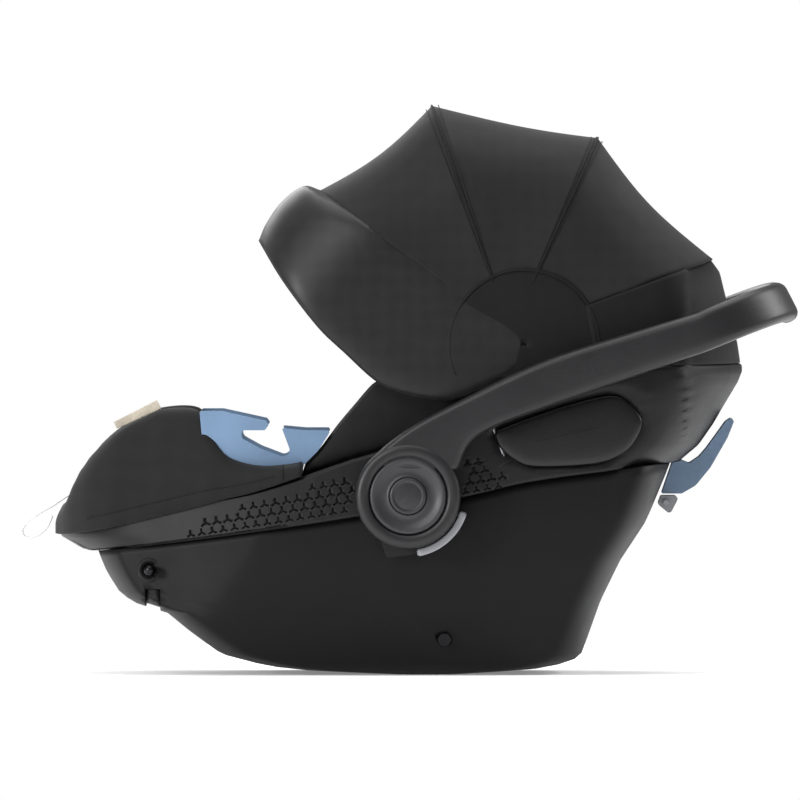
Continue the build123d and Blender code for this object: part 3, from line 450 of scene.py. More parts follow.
# ------------------------------------------------------------------ seat shell
LOW_FRONT = [(0, -40), (3, -112), (7, -150), (18, -192), (40, -222), (58, -244), (62, -262), (67, -275),
             (76, -287), (95, -299), (114, -307), (200, -307)]
LOW_BACK = [(0, 40), (4, 104), (9, 130), (15, 146), (40, 155), (68, 165), (105, 183), (143, 208), (196, 230),
            (300, 230)]
LOW_WIDTH = [(0, 128), (3, 136), (10, 144), (30, 154), (65, 167), (105, 176), (150, 182), (300, 182)]
FLAT = [(-400, 0), (400, 0)]
rows = [(t, 0, 0) for t in (0, 0.004, 0.012, 0.025, 0.045, 0.07, 0.1, 0.13, 0.16, 0.2, 0.25, 0.3, 0.34,
                            0.38, 0.42, 0.46, 0.5, 0.55, 0.6, 0.66, 0.72, 0.78, 0.84, 0.9, 0.95, 1.0)]
points = hull(rows, LOW_FRONT, LOW_BACK, FLAT, SPLIT_FINE, LOW_WIDTH, 0.0, corner=34)
under_band = np.interp(points[..., 0], PLAN_FINE[:, 0], PLAN_FINE[:, 1]) - 6
points[..., 1] = np.sign(points[..., 1]) * np.minimum(np.abs(points[..., 1]), under_band)
lower = grid("shell_lower", points.transpose(1, 0, 2), SHELL, None, wrap_v=True, caps=(0,))
thicken(lower, 3.0)


def prism(outlines, depth):
    """One cutter mesh from flat outlines of (x, z) at a y, each depth deep to both sides."""
    verts, faces = [], []
    for outline, y in outlines:
        n, k = len(outline), len(verts)
        verts += [(x, y - depth, z) for x, z in outline] + [(x, y + depth, z) for x, z in outline]
        faces += [list(range(k, k + n)), list(range(k + 2 * n - 1, k + n - 1, -1))]
        faces += [[k + i, k + (i + 1) % n, k + n + (i + 1) % n, k + n + i] for i in range(n)]
    return verts, faces


def carve(obj, verts, faces):
    cutter = make("cutter", verts, faces, BLACK, flat=True)
    cut = obj.modifiers.new("cut", "BOOLEAN")
    cut.operation, cut.solver, cut.object = "DIFFERENCE", "EXACT", cutter
    apply_all(obj)
    bpy.data.objects.remove(cutter)
    return obj


def circle(x, z, r, n=28):
    return [(x + r * math.cos(2 * math.pi * k / n), z + r * math.sin(2 * math.pi * k / n)) for k in range(n)]


slots = [([(-262, 20), (-248, 20), (-248, 80), (-262, 80)], 0)]
holes = [(circle(-258, 98, 5.3), s * 140) for s in (-1, 1)] + [(circle(18, 33, 6.3), s * 160) for s in (-1, 1)]
hook_slots = [([(-10, -8), (54, -8), (54, 15), (-10, 15)], s * 61) for s in (-1, 1)]
verts, faces = prism(slots, 260)
for group, depth in ((holes, 26), (hook_slots, 11)):
    v, f = prism(group, depth)
    faces += [[i + len(verts) for i in face] for face in f]
    verts += v
carve(lower, verts, faces)
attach(lower, "seat")
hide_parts("lower_shell")

POD_LINE = [(68, 214), (64, 227), (71, 231), (100, 242), (136, 254), (172, 262), (188, 257), (203, 239),
            (196, 219), (181, 205), (155, 197), (102, 195), (82, 202)]
RECESS = [(60, 224), (73, 212), (90, 198), (102, 193), (155, 192), (188, 198), (208, 213), (219, 231),
          (221, 244), (212, 257), (196, 267), (182, 270), (163, 268), (143, 261), (100, 247), (68, 236)]
rows = [(0, 7.5, 0.4), (0, 2, 0.2), (0, 0.5, 0.9), (0, 0, 2.6)]
rows += [(t, 0, 0) for t in np.linspace(0.06, 0.95, 26)]
rows += [(1, 0.2, -2.5), (1, 1.2, -0.9), (1, 3, -0.2), (1, 5, -0.2), (1, 6.8, -0.9), (1, 8, -2.6),
         (1, 8, -16)]
points = hull(rows, BAND_FRONT, BAND_BACK, SPLIT_FINE, RIM_FINE, None, 0.0, corner=80, sides=190)
dip = ease(inside_distance(RECESS, points[..., 0], points[..., 2]), -2, 5) * 2.2
dip += ease(inside_distance(POD_LINE, points[..., 0], points[..., 2]), -4, 0) * 3.0
outer = (np.arange(points.shape[1]) > 2) & (np.arange(points.shape[1]) < 32)
points[..., 1] -= np.sign(points[..., 1]) * dip * outer[None, :]
band = grid("shell_band", points, RIM, None, wrap_u=True, wrap_v=True)

LATTICE_FRONT = [(-236, 123), (-226, 136), (-208, 151), (-170, 161), (-118, 176), (-68, 191), (-62, 196),
                 (-62, 152)]
LATTICE_MID = [(36, 207), (96, 184), (97, 181), (34, 168)]


def star(x, z, arm, half, turn):
    """Three-armed slot, closed outline."""
    out = []
    for k in range(3):
        a = math.radians(turn + 120 * k)
        u, v = (math.cos(a), math.sin(a)), (-math.sin(a), math.cos(a))
        b = math.radians(turn + 120 * k - 60)
        inner = half / math.sin(math.radians(60))
        out.append((x + inner * math.cos(b), z + inner * math.sin(b)))
        out.append((x + arm * u[0] - half * v[0], z + arm * u[1] - half * v[1]))
        out.append((x + arm * u[0] + half * v[0], z + arm * u[1] + half * v[1]))
    return out


stars = []
slope = math.radians(9)
for i in range(-40, 60):
    for j in range(-16, 16):
        u, v = 10.4 * (i + 0.5 * (j % 2)), 8.6 * j
        x = -150 + u * math.cos(slope) - v * math.sin(slope)
        z = 160 + u * math.sin(slope) + v * math.cos(slope)
        room = max(inside_distance(LATTICE_FRONT, x, z), inside_distance(LATTICE_MID, x, z))
        if room > (3.2 if x < 0 else 1.6):
            y = float(np.interp(x, PLAN_FINE[:, 0], PLAN_FINE[:, 1]))
            fade = 0.75 + 0.25 * float(ease(room, 3, 9))
            outline = star(x, z, 4.7 * fade, 0.95 * fade, 90 + math.degrees(slope))
            stars += [(outline, -y), (outline, y)]
verts, faces = prism(stars, 3.4)
carve(band, verts, faces)
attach(band, "seat")
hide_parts("upper_shell")

# plain ring round the front pin hole
BEZEL = ((5.3, 131), (5.4, 136.6), (8.0, 137.2), (9.8, 138.4), (11.0, 137.6), (11.4, 131))
for side, s in SIDES:
    ring_rows = [[(-258 + r * math.cos(a), s * (y0 + 0.6 * math.sin(math.pi * k / 5)), 98 + r * math.sin(a))
                  for k, (r, y0) in enumerate(BEZEL)]
                 for a in np.linspace(0, 2 * math.pi, 40, endpoint=False)]
    grid(f"pin_bezel_{side}", np.array(ring_rows), BLACK, "seat", wrap_u=True)


# ------------------------------------------------------------------ leg cover
LEG_TOP = curve([(-349, 146), (-343, 164), (-319, 200), (-290, 228), (-262, 241), (-246, 247), (-214, 248),
                 (-200, 232), (-187, 211), (-172, 202), (-150, 197), (-126, 197), (-114, 199)], 160)
LEG_WELL = [(-349, 147), (-340, 160), (-326, 169), (-290, 181), (-240, 180), (-180, 161), (-100, 141)]
PLAN_GROWN = PLAN_FINE.copy()
PLAN_GROWN[:, 1] += 3.8


def leg_height(x, y, drop):
    """Top of the leg cover over a plan position, with its edge rounded over."""
    wide = np.interp(x, PLAN_GROWN[:, 0], PLAN_GROWN[:, 1])
    side_ = ease(np.abs(y) / wide, 0.46, 0.74)
    top = on(LEG_WELL, x) + (on(LEG_TOP, x) - on(LEG_WELL, x)) * side_
    base = on(RIM_FINE, x) + 1.0
    return base + np.maximum(top - base, 2.0) * drop


a = np.linspace(0, math.pi / 2, 34)
front_x = -347.4 + 62 * (1 - np.cos(a) ** 0.8)
leg_x = np.concatenate([front_x, np.linspace(front_x[-1], -115.6, 41)[1:]])
leg_w = np.interp(leg_x, PLAN_GROWN[:, 0], PLAN_GROWN[:, 1])
leg_y = leg_w * (1 - (1 - np.clip((leg_x + 347.4) / 62, 0, 1)) ** 2.5) ** 0.4
outline_l = np.stack([leg_x, -leg_y], axis=1)
outline_all = np.concatenate([outline_l[::-1], outline_l[1:] * (1, -1)])
spine = np.stack([np.clip(outline_all[:, 0], -262, -115.6), np.zeros(len(outline_all))], axis=1)
rows = []
for f, drop in [(0, -0.06), (0, 0.08), (0, 0.25), (0.0, 0.45), (0.006, 0.62), (0.02, 0.76), (0.045, 0.87),
                (0.08, 0.945), (0.13, 0.985), (0.19, 1.0)] + [(f, 1.0) for f in np.linspace(0.24, 1.0, 26)]:
    xy = outline_all + (spine - outline_all) * f
    puff = 1.6 * np.sin(math.pi * np.clip(f * 3, 0, 1)) * np.sin(xy[:, 0] * 0.045)
    z = leg_height(xy[:, 0], xy[:, 1], drop) + (puff if f > 0.02 else 0)
    rows.append(np.stack([xy[:, 0], xy[:, 1], z], axis=1))
leg = grid("leg_cover_cloth", np.array(rows).transpose(1, 0, 2), COVER, None)
thicken(leg, 4.0)
apply_all(leg)
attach(leg, "seat")
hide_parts("leg_cover")


def leg_surface(x, z):
    """Distance from the middle plane of the cover's side at a side-view point."""
    wide = np.interp(x, PLAN_GROWN[:, 0], PLAN_GROWN[:, 1])
    cap = (1 - (1 - np.clip((x + 347.4) / 62, 0, 1)) ** 2.5) ** 0.4
    t = (z - on(RIM_FINE, x)) / np.maximum(on(LEG_TOP, x) - on(RIM_FINE, x), 4)
    heights = [0, 0.45, 0.62, 0.76, 0.87, 0.945, 0.985, 1.0]
    f = np.interp(t, heights, [0, 0.0, 0.006, 0.02, 0.045, 0.08, 0.13, 0.19])
    return wide * cap * (1 - f)


def stitched(name, points, mat, side, radius, dash=None, lift=0.3):
    """Line of thread lying on the leg cover's side."""
    line = curve(points, 260)
    y = leg_surface(line[:, 0], line[:, 1]) + lift
    path = np.stack([line[:, 0], side * y, line[:, 1]], axis=1)
    if dash is None:
        tube(name, path, radius, mat, "seat", ring=6)
        return
    made_v, made_f = [], []
    for k in range(0, len(path) - dash, dash + 1):
        obj = tube("dash", path[k:k + dash], radius, mat, None, ring=6)
        base_ = len(made_v)
        made_v += [tuple(v.co / MM) for v in obj.data.vertices]
        made_f += [[i + base_ for i in p.vertices] for p in obj.data.polygons]
        bpy.data.objects.remove(obj)
    make(name, made_v, made_f, mat, "seat")


# plain hem stitching, tone on tone, along the cover's lower edge, and the seam at its rear end
HEM_RISE = 9.0
HEM = [(x, float(on(RIM_FINE, x)) + HEM_RISE) for x in np.linspace(-318, -140, 24)]
for side, s in SIDES:
    stitched(f"hem_stitch_{side}", HEM, DEEP, s, radius=0.5, dash=5)
    seam = [(-133, z) for z in np.linspace(183, 197, 8)]
    stitched(f"cover_seam_{side}", seam, DEEP, s, radius=0.7)

# beige loop label, blank, folded over and sewn in at the cover's top
tab_low, tab_high = np.array([(-289, 231), (-247, 250)]), np.array([(-291.5, 236.5), (-251, 257)])
u = np.linspace(0, 1, 26)[:, None]
rows = []
for v, bulge in ((-0.15, 0.0), (0.0, 0.7), (0.3, 1.0), (0.6, 0.9), (0.9, 0.7), (1.0, 0.0), (0.9, -0.7),
                 (0.6, -0.9), (0.3, -1.0), (0.0, -0.7)):
    low, high = tab_low[0] + u * (tab_low[1] - tab_low[0]), tab_high[0] + u * (tab_high[1] - tab_high[0])
    side_point = low + (high - low) * v
    across = np.full(len(side_point), -131.6 - bulge * 0.8)
    rows.append(np.stack([side_point[:, 0], across, side_point[:, 1]], axis=1))
label = grid("blank_label", np.array(rows), BEIGE, None, wrap_u=True)
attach(label, "seat")
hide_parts("label_tab")


# ------------------------------------------------------------------ cushions by cloth simulation
def puffed(name, node, body, mat, voxel=5.0, cap=6.0, shrink=1.2, steps=20,
           pressure=4.0):
    """Cushion blown up from its CAD solid: remeshed, simulated with pressure, then capped and smoothed."""
    source = NODES[node]
    obj = bpy.data.objects.new(name, source.data.copy())
    bpy.context.collection.objects.link(obj)
    obj.data.materials.clear()
    obj.data.materials.append(mat)
    remesh = obj.modifiers.new("voxels", "REMESH")
    remesh.mode, remesh.voxel_size, remesh.use_smooth_shade = "VOXEL", voxel * MM, True
    apply_all(obj)
    work = bmesh.new()
    work.from_mesh(obj.data)
    for _ in range(2):
        bmesh.ops.smooth_vert(work, verts=work.verts, factor=0.5, use_axis_x=True, use_axis_y=True,
                              use_axis_z=True)
    work.normal_update()
    for vert in work.verts:
        vert.co -= vert.normal * shrink * MM
    work.to_mesh(obj.data)
    work.free()
    start = np.array([v.co for v in obj.data.vertices])
    soft = obj.modifiers.new("cloth", "CLOTH")
    soft.settings.use_pressure = True
    soft.settings.uniform_pressure_force = pressure
    soft.settings.effector_weights.gravity = 0.0
    soft.settings.quality = 4
    soft.point_cache.frame_start, soft.point_cache.frame_end = 1, steps
    for step in range(1, steps + 1):
        bpy.context.scene.frame_set(step)
    apply_all(obj)
    end = np.array([v.co for v in obj.data.vertices])
    move = end - start
    far = np.linalg.norm(move, axis=1, keepdims=True)
    move *= np.minimum(1, cap * MM / np.maximum(far, 1e-9))
    obj.data.vertices.foreach_set("co", (start + move).astype(np.float32).ravel())
    bpy.context.scene.frame_set(1)
    obj.data.materials.clear()
    obj.data.materials.append(mat)
    refine(obj)
    apply_all(obj)
    for face in obj.data.polygons:
        face.use_smooth = True
    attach(obj, body)
    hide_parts(node)
    return obj


puffed("body_cover_cloth", "body_cover", "seat", COVER, voxel=5.0, cap=1.6, steps=8,
       pressure=1.0)
puffed("seat_cushion", "seat_pad", "seat", INLAY, voxel=4.0, cap=4.0)
puffed("back_cushion", "back_pad", "seat", INLAY, voxel=4.0, cap=2.0)
puffed("headrest_cushion", "headrest_pad", "headrest", INLAY, voxel=4.0, cap=2.0)
puffed("shoulder_cushions", "shoulder_pads", "seat", INLAY, voxel=2.2, cap=1.2,
       shrink=0.5)


def stretched(obj, depth):
    thicken(obj, depth)
    apply_all(obj)


# ------------------------------------------------------------------ canopy
PIVOT = np.array([80.0, 322.0])
SEAMS = ((19.4, 201.0), (65.6, 198.0), (109.3, 223.0), (144.0, 222.0))
CLOTH_OUT, CORNER = 186.2, 85.0


def chord(f, start, end, sag):
    """Reach and angle across a panel: the straight chord between two seams, sagging inward."""
    (a0, r0), (a1, r1) = start, end
    angle = a0 + f * (a1 - a0)
    p, q = math.radians(angle - a0), math.radians(a1 - angle)
    reach = r0 * r1 * math.sin(math.radians(a1 - a0)) / (r0 * math.sin(p) + r1 * math.sin(q))
    return angle, reach - sag * math.sin(math.pi * f) ** 0.9


def arch(angle, reach, half, foot, pull, corner=CORNER):
    """U across the seat at one angle: up a side, round, across, and down the other."""
    up = [(half, r) for r in np.linspace(foot, reach - corner, 22)]
    a = np.linspace(0, math.pi / 2, 16)[1:]
    up += [(half - corner + corner * math.cos(t), reach - corner + corner * math.sin(t)) for t in a]
    up += [(y, reach) for y in np.linspace(half - corner, 0, 16)[1:]]
    turn = math.radians(angle)
    out = []
    for y, r in up:
        along = (r - foot) / max(reach - foot, 1)
        y -= pull * math.sin(math.pi * min(1, along * 1.05)) * min(1, y / 60)
        out.append((PIVOT[0] + r * math.cos(turn), -y, PIVOT[1] + r * math.sin(turn)))
    return out + [(x, -y, z) for x, y, z in out[-2::-1]]


def angular(obj):
    """Works out each vertex's angle round the canopy pivot; the result is not stored and no weights are made.
    """
    for v in obj.data.vertices:
        angle = math.degrees(math.atan2(v.co.z / MM - PIVOT[1], v.co.x / MM - PIVOT[0])) % 360
        if angle > 270:
            angle = 0.0


PANELS = (("rear", 0, 7.5, "seat", "canopy_rear"), ("mid", 1, 3.2, "canopy_rear", "canopy_mid"),
          ("front", 2, 7.0, "canopy_mid", "canopy_front"))
for name, k, sag, body_a, body_b in PANELS:
    start, end = SEAMS[k], SEAMS[k + 1]
    rows = []
    for f in np.linspace(0, 1, 30):
        angle, reach = chord(f, start, end, sag)
        rows.append(arch(angle, reach, CLOTH_OUT, 49.0, 2.6 * math.sin(math.pi * f)))
    panel = grid(f"canopy_panel_{name}", np.array(rows), CANOPY, None)
    stretched(panel, 1.3)
    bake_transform(panel)
    angular(panel)
    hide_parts(f"canopy_fabric_{name}")

for name, k in (("rear", 1), ("mid", 2)):
    angle, reach = SEAMS[k]
    path = np.array(arch(angle, reach + 0.2, CLOTH_OUT + 0.1, 49.0, 0.0))
    tube(f"seam_piping_{name}", path, 1.0, DEEP, f"canopy_{name}", ring=8)
    for off in (-1.6, 1.6):
        path = np.array(arch(angle + off, reach - 1.0 - (0.5 if off > 0 else 0.3), CLOTH_OUT + 0.02, 50.0, 0.0))
        tube(f"topstitch_{name}_{'a' if off < 0 else 'b'}", path, 0.32, DEEP, f"canopy_{name}", ring=6)

# gussets: flat lower panels over the pivots
for side, s in SIDES:
    rows = []
    for a in np.linspace(0, 2 * math.pi, 72, endpoint=False):
        far = 72.0
        if math.sin(a) < -0.05:
            far = min(far, 32.0 / -math.sin(a))
        rows.append([(93 + r * far * math.cos(a), s * (186.5 + 0.7 * (1 - r * r)), 309 + r * far * math.sin(a))
                     for r in np.linspace(0.02, 1, 12)])
    gusset = grid(f"gusset_{side}", np.array(rows), DEEP, None, wrap_u=True)
    stretched(gusset, 0.9)
    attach(gusset, "seat")
    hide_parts("canopy_gussets")
    a = np.linspace(math.radians(-24), math.radians(204), 90)
    edge = np.stack([93 + 70 * np.cos(a), s * (187.0 + 0 * a), 309 + 70 * np.sin(a)], axis=1)
    tube(f"gusset_seam_{side}", edge, 0.8, DEEP, "seat", ring=8)

# skirt behind the canopy
SKIRT_LOW = [(140, 266), (164, 272.5), (216, 289.5), (310, 291.5)]
SKIRT_HIGH = [(120, 334), (148, 345), (200, 364), (269, 389), (310, 392)]
SKIRT_BACK = [(280, 298), (293, 298), (310, 296.5), (340, 290), (376, 279.5), (389, 269.5), (420, 262)]
rows = [(t, 0.0, 0.0) for t in np.linspace(0, 1, 24)]
ring_points = hull(rows, [(0, -343), (600, -343)], SKIRT_BACK, SKIRT_LOW, SKIRT_HIGH, None, 1.8, corner=70,
                   ends=26)
keep = ring_points[:, :, 0].min(axis=1) > 146
order = np.roll(np.arange(len(keep)), -int(np.argmin(keep)))
band_points = ring_points[order][keep[order]]
pull = np.sin(np.linspace(0, math.pi, band_points.shape[1]))[None, :] * 2.0
band_points[..., 0] -= pull * ease(band_points[..., 0], 250, 290)
skirt = grid("canopy_skirt_cloth", band_points, DEEP, None)
stretched(skirt, 1.3)
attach(skirt, "seat")
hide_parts("canopy_skirt")

# visor: one padded band, from a rounded tail on each side round the front
UP = curve([(-98, 453.0), (-88, 446), (-50, 419), (2, 387), (42, 359), (70, 344), (85, 331), (93.5, 316),
            (95, 300)], 80)
DOWN = curve([(-156, 406), (-133, 368), (-101, 326), (-75, 301), (-47, 275.5), (-25, 265), (5, 258),
              (30, 258), (64, 272), (84, 284), (95, 300)], 80)
NOSE = curve([(-98, 453.0), (-115, 457), (-135, 442), (-149, 422), (-156, 406)], 25)
rows = []
half_rows = []
for i in range(80):
    if i < 12:
        y, along = 103.0 * i / 12, 0.0
    elif i < 30:
        t = (i - 12) / 18 * math.pi / 2
        y, along = 103.0 + 84.6 * math.sin(t), 0.30 * (1 - math.cos(t))
    else:
        y, along = 187.6, 0.30 + 0.70 * (i - 30) / 49
    up_p = np.array([np.interp(along * 79, np.arange(80), UP[:, k]) for k in (0, 1)])
    down_p = np.array([np.interp(along * 79, np.arange(80), DOWN[:, k]) for k in (0, 1)])
    row = []
    for j, v in enumerate(np.linspace(0, 1, 25)):
        p = up_p + (down_p - up_p) * v
        nose = NOSE[j] - (NOSE[0] + (NOSE[-1] - NOSE[0]) * v)
        p = p + nose * max(0.0, 1 - along / 0.30) ** 1.4
        rim_in = 1 - abs(2 * v - 1) ** 6
        tail_in = 1 - ease(along, 0.9, 1.0) * 0.6
        inward = (1 - rim_in * tail_in) * 4.0
        row.append((p[0], y - inward if i >= 12 else y, p[1]))
    half_rows.append(row)
half = np.array(half_rows)
points = np.concatenate([half[::-1] * (1, -1, 1), half[1:]])
visor = grid("visor_cloth_body", points, VISOR, None)
stretched(visor, 3.2)
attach(visor, "canopy_front")
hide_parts("canopy_visor")

# ------------------------------------------------------------------ handle
ARM_TOP = curve([(-58, 194), (-39, 214), (-13, 233), (28, 255), (108, 293.5), (198, 322.5), (288, 348.5),
                 (334, 360.5)], 120)
ARM_LOW = curve([(30, 190), (42, 217), (66, 233), (109, 249), (180, 274), (261, 302), (322, 318.5)], 120)
HANDLE_IN, HANDLE_OUT = 194.3, 217.8
ARM_HALF_WIDTH = 11.75
BAR_HALF_WIDTH, BAR_HALF_HEIGHT = 9.75, 18.6
BAR_REACH, BAR_DROP = 394.0, 1.5
REACH_ANGLE = math.radians(27.33)


def rounded_box(half_u, half_v, radius, steps=5):
    """Closed rounded rectangle, counter-clockwise, as (u, v)."""
    out = []
    for k, (su, sv) in enumerate(((1, 1), (-1, 1), (-1, -1), (1, -1))):
        for a in np.linspace(0, math.pi / 2, steps):
            t = a + k * math.pi / 2
            out.append((su * (half_u - radius) + radius * math.cos(t),
                        sv * (half_v - radius) + radius * math.sin(t)))
    return out


sections = []
for i in range(0, 120, 2):
    top, low = ARM_TOP[i], ARM_LOW[i]
    mid, rise = (top + low) / 2, (top - low) / 2
    tall = np.linalg.norm(rise)
    centre = np.array((mid[0], -(HANDLE_IN + HANDLE_OUT) / 2, mid[1]))
    sections.append((centre, np.array((rise[0], 0, rise[1])) / tall, tall, np.array((0.0, -1.0, 0.0)),
                     ARM_HALF_WIDTH, 9.0))
reach_dir = np.array((math.cos(REACH_ANGLE), 0, math.sin(REACH_ANGLE)))
rise_dir = np.array((-reach_dir[2], 0, reach_dir[0]))
corner_r = 77.0
centre_reach = BAR_REACH - corner_r
hub3 = np.array((HUB[0], 0, HUB[1]))
sections = [q for q in sections if np.dot(q[0] - hub3, reach_dir) < centre_reach]
last = sections[-1]
base_drop = np.dot(last[0] - hub3, rise_dir)
base_tall = last[2]
for t in np.linspace(0, math.pi / 2, 20)[1:]:
    share = t / 1.571
    drop = base_drop + (-BAR_DROP - base_drop) * share
    p = hub3 + reach_dir * (centre_reach + corner_r * math.sin(t)) + rise_dir * drop
    p = p + np.array((0, -(206.0 - corner_r + corner_r * math.cos(t)), 0))
    out = reach_dir * math.sin(t) + np.array((0, -math.cos(t), 0))
    sections.append((p, rise_dir, base_tall + (BAR_HALF_HEIGHT - base_tall) * share, out,
                     ARM_HALF_WIDTH - (ARM_HALF_WIDTH - BAR_HALF_WIDTH) * share, 8.5))
bar_centre = hub3 + reach_dir * BAR_REACH - rise_dir * BAR_DROP
for y in np.linspace(128, 0, 16)[1:]:
    p = bar_centre + np.array((0, -y, 0))
    sections.append((p, rise_dir, BAR_HALF_HEIGHT, reach_dir, BAR_HALF_WIDTH, 8.5))


def swept(parts):
    rows_ = []
    for p, up, tall, across, wide, radius in parts:
        radius = min(radius, tall - 0.5, wide - 0.5)
        rows_.append([p + up * v + across * u for u, v in rounded_box(wide, tall, radius)])
    return np.array(rows_)


half = swept(sections)
full = np.concatenate([half, half[-2::-1] * (1, -1, 1)])
handle = grid("handle_bow", full, HANDLE, "handle", wrap_v=True, caps=(0, -1))
refine(handle)
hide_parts("handle_frame")
for side, s in SIDES:
    hub_profile = [(13, 194.6), (47.5, 194.6), (49.0, 196.2), (49.2, 200), (49.2, 213), (48.4, 216.8),
                   (46.2, 219.2), (43.0, 219.9), (39.4, 219.6), (37.4, 218.6), (36.3, 216.6), (36.1, 208)]
    ring_piece = lathe(f"hub_ring_{side}", hub_profile, HUB, s, HANDLE, "handle")
    dish = [(36.0, 208), (35.7, 217.2), (35.0, 218.6), (33.6, 219.3), (31.4, 218.9), (28.5, 217.0), (25, 215.6),
            (21.5, 215.2), (19.0, 215.8), (18.0, 216.6), (17.6, 215.0), (0.01, 215.0)]
    dish_piece = lathe(f"hub_dish_{side}", dish, HUB, s, DISH, f"button_{side}")
    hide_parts(f"handle_button_{side}")
    cap = [(17.3, 215.2), (17.2, 218.0), (16.4, 219.2), (15.0, 219.6), (13.4, 219.2), (12.8, 218.8),
           (12.0, 219.0), (6, 219.5), (0.01, 219.6)]
    cap_piece = lathe(f"hub_cap_{side}", cap, HUB, s, CAP, f"button_{side}")
    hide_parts(f"button_cap_{side}")
    # grey arc of the release lever
    rows = []
    for a in np.linspace(math.radians(-81), math.radians(-16), 44):
        end = min(1.0, (a - math.radians(-81)) / 0.05, (math.radians(-16) - a) / 0.05)
        shrink_ = 1 - 0.35 * (1 - max(end, 0)) ** 2
        rows.append([(HUB[0] + (53.7 + u) * math.cos(a), s * (197.6 + v), HUB[1] + (53.7 + u) * math.sin(a))
                     for u, v in rounded_box(3.5 * shrink_, 8.8 * shrink_, 1.6)])
    lever = grid(f"adapter_arc_{side}", np.array(rows), GREY, f"adapter_{side}", wrap_v=True, caps=(0, -1))
    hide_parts(f"adapter_lever_{side}")

# rubber grip sleeve with fine ribs
rows = []
for y in np.linspace(-96, 96, 241):
    rib = 0.28 * math.cos(2 * math.pi * y / 6.4) if abs(y) < 88 else 0.0
    lip = -0.7 * ease(abs(y), 92, 96)
    p = bar_centre + np.array((0, y, 0))
    section = rounded_box(9.95 + rib * 0.2 + lip, 19.0 + rib + lip, 8.7)
    rows.append([p + rise_dir * v + reach_dir * u for u, v in section])
grip = grid("grip_sleeve", np.array(rows), GRIP, "handle", wrap_v=True, caps=(0, -1))
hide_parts("handle_grip")


# ------------------------------------------------------------------ side pods
spine_a, spine_b = np.array((104, 219.0)), np.array((172, 234.0))
outline_pod = even(np.vstack([curve(POD_LINE + POD_LINE[:1], 200)]), 97)[:-1]
spine_run = spine_b - spine_a
t = np.clip(((outline_pod - spine_a) @ spine_run) / np.dot(spine_run, spine_run), 0, 1)
core = spine_a + t[:, None] * spine_run
for side, s in SIDES:
    rows = []
    for f, y in ((0.0, 183.4), (0.0, 187.4), (0.01, 188.8), (0.035, 189.9), (0.08, 190.6), (0.16, 191.1),
                 (0.3, 191.45), (0.5, 191.7), (0.75, 191.85), (0.999, 191.9)):
        p = outline_pod + (core - outline_pod) * (0.012 + f * 0.985)
        rows.append(np.stack([p[:, 0], s * y + 0 * p[:, 0], p[:, 1]], axis=1))
    pod = grid(f"pod_shell_{side}", np.array(rows).transpose(1, 0, 2), POD, f"pod_{side}", wrap_u=True)
    refine(pod)
    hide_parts(f"side_pod_{side}")


# ------------------------------------------------------------------ webbing
BACK_FOOT, BACK_ANGLE = np.array((48.0, 60.0)), math.radians(40)
BACK_DIR = np.array((math.cos(BACK_ANGLE), math.sin(BACK_ANGLE)))
BACK_UP = np.array((-BACK_DIR[1], BACK_DIR[0]))


def on_back(along, height):
    return tuple(BACK_FOOT + along * BACK_DIR + (28.3 + height) * BACK_UP)


def rounded_path(points, count):
    line = even(points, 900)
    kernel = np.exp(-0.5 * (np.arange(-60, 61) / 14.0) ** 2)
    kernel /= kernel.sum()
    padded_ = np.vstack([np.repeat(line[:1], 60, 0), line, np.repeat(line[-1:], 60, 0)])
    return even(np.stack([np.convolve(padded_[:, k], kernel, "valid") for k in (0, 1)], axis=1), count)


for side, s in SIDES:
    path = rounded_path([on_back(70, 13.3), on_back(16, 13.3), (0, 132), (-36, 140), (-40, 133), (-20, 112),
                         (12, 100)], 160)
    belt = ribbon(f"harness_webbing_{side}", path, 26.0, 1.8, BELT, "seat", y=s * 44.0)
    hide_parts(f"harness_strap_{side}")
crotch_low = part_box("crotch_strap")[0][2] / MM + 1.0
path = rounded_path([(-86, crotch_low), (-78, crotch_low), (-62, 96)], 50)
crotch = ribbon("crotch_webbing", path, 36.0, 1.8, BELT, "seat")
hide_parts("crotch_strap")
LOOP = curve([(-318.2, 174), (-332, 168.5), (-349.5, 157), (-362, 150), (-374, 141), (-378.5, 134), (-377, 128),
              (-371, 127), (-362, 130), (-355, 137), (-350.5, 147)], 90)
pull = ribbon("pull_loop", LOOP, 20.0, 2.0, PALE_BELT, "seat")
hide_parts("adjuster_strap")


# ------------------------------------------------------------------ carried-over parts
def finish_node(name, mat, round_edges=0.0):
    obj = NODES[name]
    if obj.material_slots:
        for held in obj.material_slots:
            held.material = mat
    else:
        obj.data.materials.append(mat)
    if round_edges:
        bevel = obj.modifiers.new("edges", "BEVEL")
        bevel.width, bevel.segments, bevel.limit_method = round_edges * MM, 2, "ANGLE"
        bevel.angle_limit = math.radians(40)
        bevel.harden_normals = True


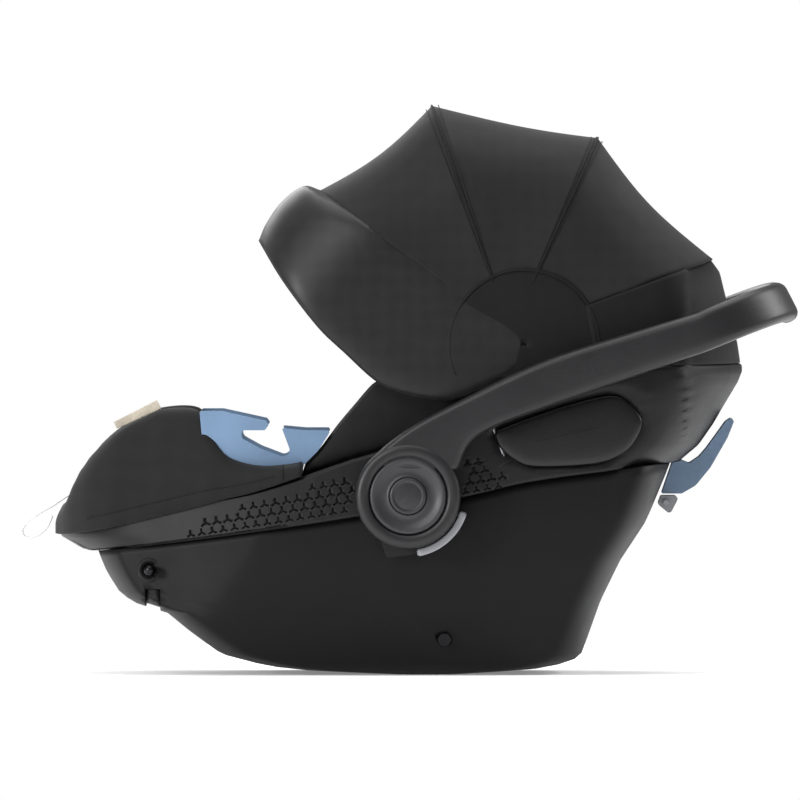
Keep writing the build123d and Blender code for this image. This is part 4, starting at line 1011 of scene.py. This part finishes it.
KEPT = {
    "adapter_housing_left": BLACK, "adapter_housing_right": BLACK, "adjuster_button": GREY,
    "adjuster_housing": BLACK, "base_release_lever": GREY, "buckle_body": BLACK, "buckle_button": RED,
    "buckle_tongues": STEEL, "canopy_bracket_left": BLACK, "canopy_bracket_right": BLACK,
    "canopy_pivot_pins": STEEL, "canopy_rib_front": BLACK, "canopy_rib_mid": BLACK,
    "canopy_rib_rear": BLACK, "front_anchor_bar": DARK_STEEL, "headrest_shell": BLACK,
    "lap_belt_guide_left": BLUE, "lap_belt_guide_right": BLUE, "latch_hooks": DARK_STEEL,
    "latch_shaft": DARK_STEEL, "lock_gear_left": GREY, "lock_gear_right": GREY, "pivot_plate_left": BLACK,
    "pivot_plate_right": BLACK, "pivot_screws": STEEL, "pod_hinge_pins": STEEL, "release_lever_pin": STEEL,
    "shoulder_belt_guide": BLUE_DEEP, "button_spring_left": STEEL, "button_spring_right": STEEL,
}
for node_name, mat in KEPT.items():
    if node_name in NODES:
        finish_node(node_name, mat, 1.0 if mat in (BLUE, BLUE_DEEP) else 0.0)

# foam liner drawn thinner, clear of the moulded band and the padded lining
liner = bpy.data.objects.new("foam_liner", NODES["impact_foam"].data.copy())
bpy.context.collection.objects.link(liner)
liner.data.materials.clear()
liner.data.materials.append(FOAM)
work = bmesh.new()
work.from_mesh(liner.data)
bmesh.ops.remove_doubles(work, verts=work.verts, dist=1e-5)
work.normal_update()
for vert in work.verts:
    vert.co -= vert.normal * LINER_INSET * MM
work.to_mesh(liner.data)
work.free()
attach(liner, "seat")
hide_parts("impact_foam")

# ------------------------------------------------------------------ floor
FLOOR_RINGS, FLOOR_TURNS = (1, 500, 900, 1300, 1700), 64
floor_v = [(r * math.cos(a), r * math.sin(a), -0.3) for r in FLOOR_RINGS
           for a in np.linspace(0, 2 * math.pi, FLOOR_TURNS, endpoint=False)]
floor_f = sheet_faces(len(FLOOR_RINGS), FLOOR_TURNS, wrap_v=True) + [list(range(FLOOR_TURNS))]
floor = make("floor", floor_v, floor_f, FLOOR)
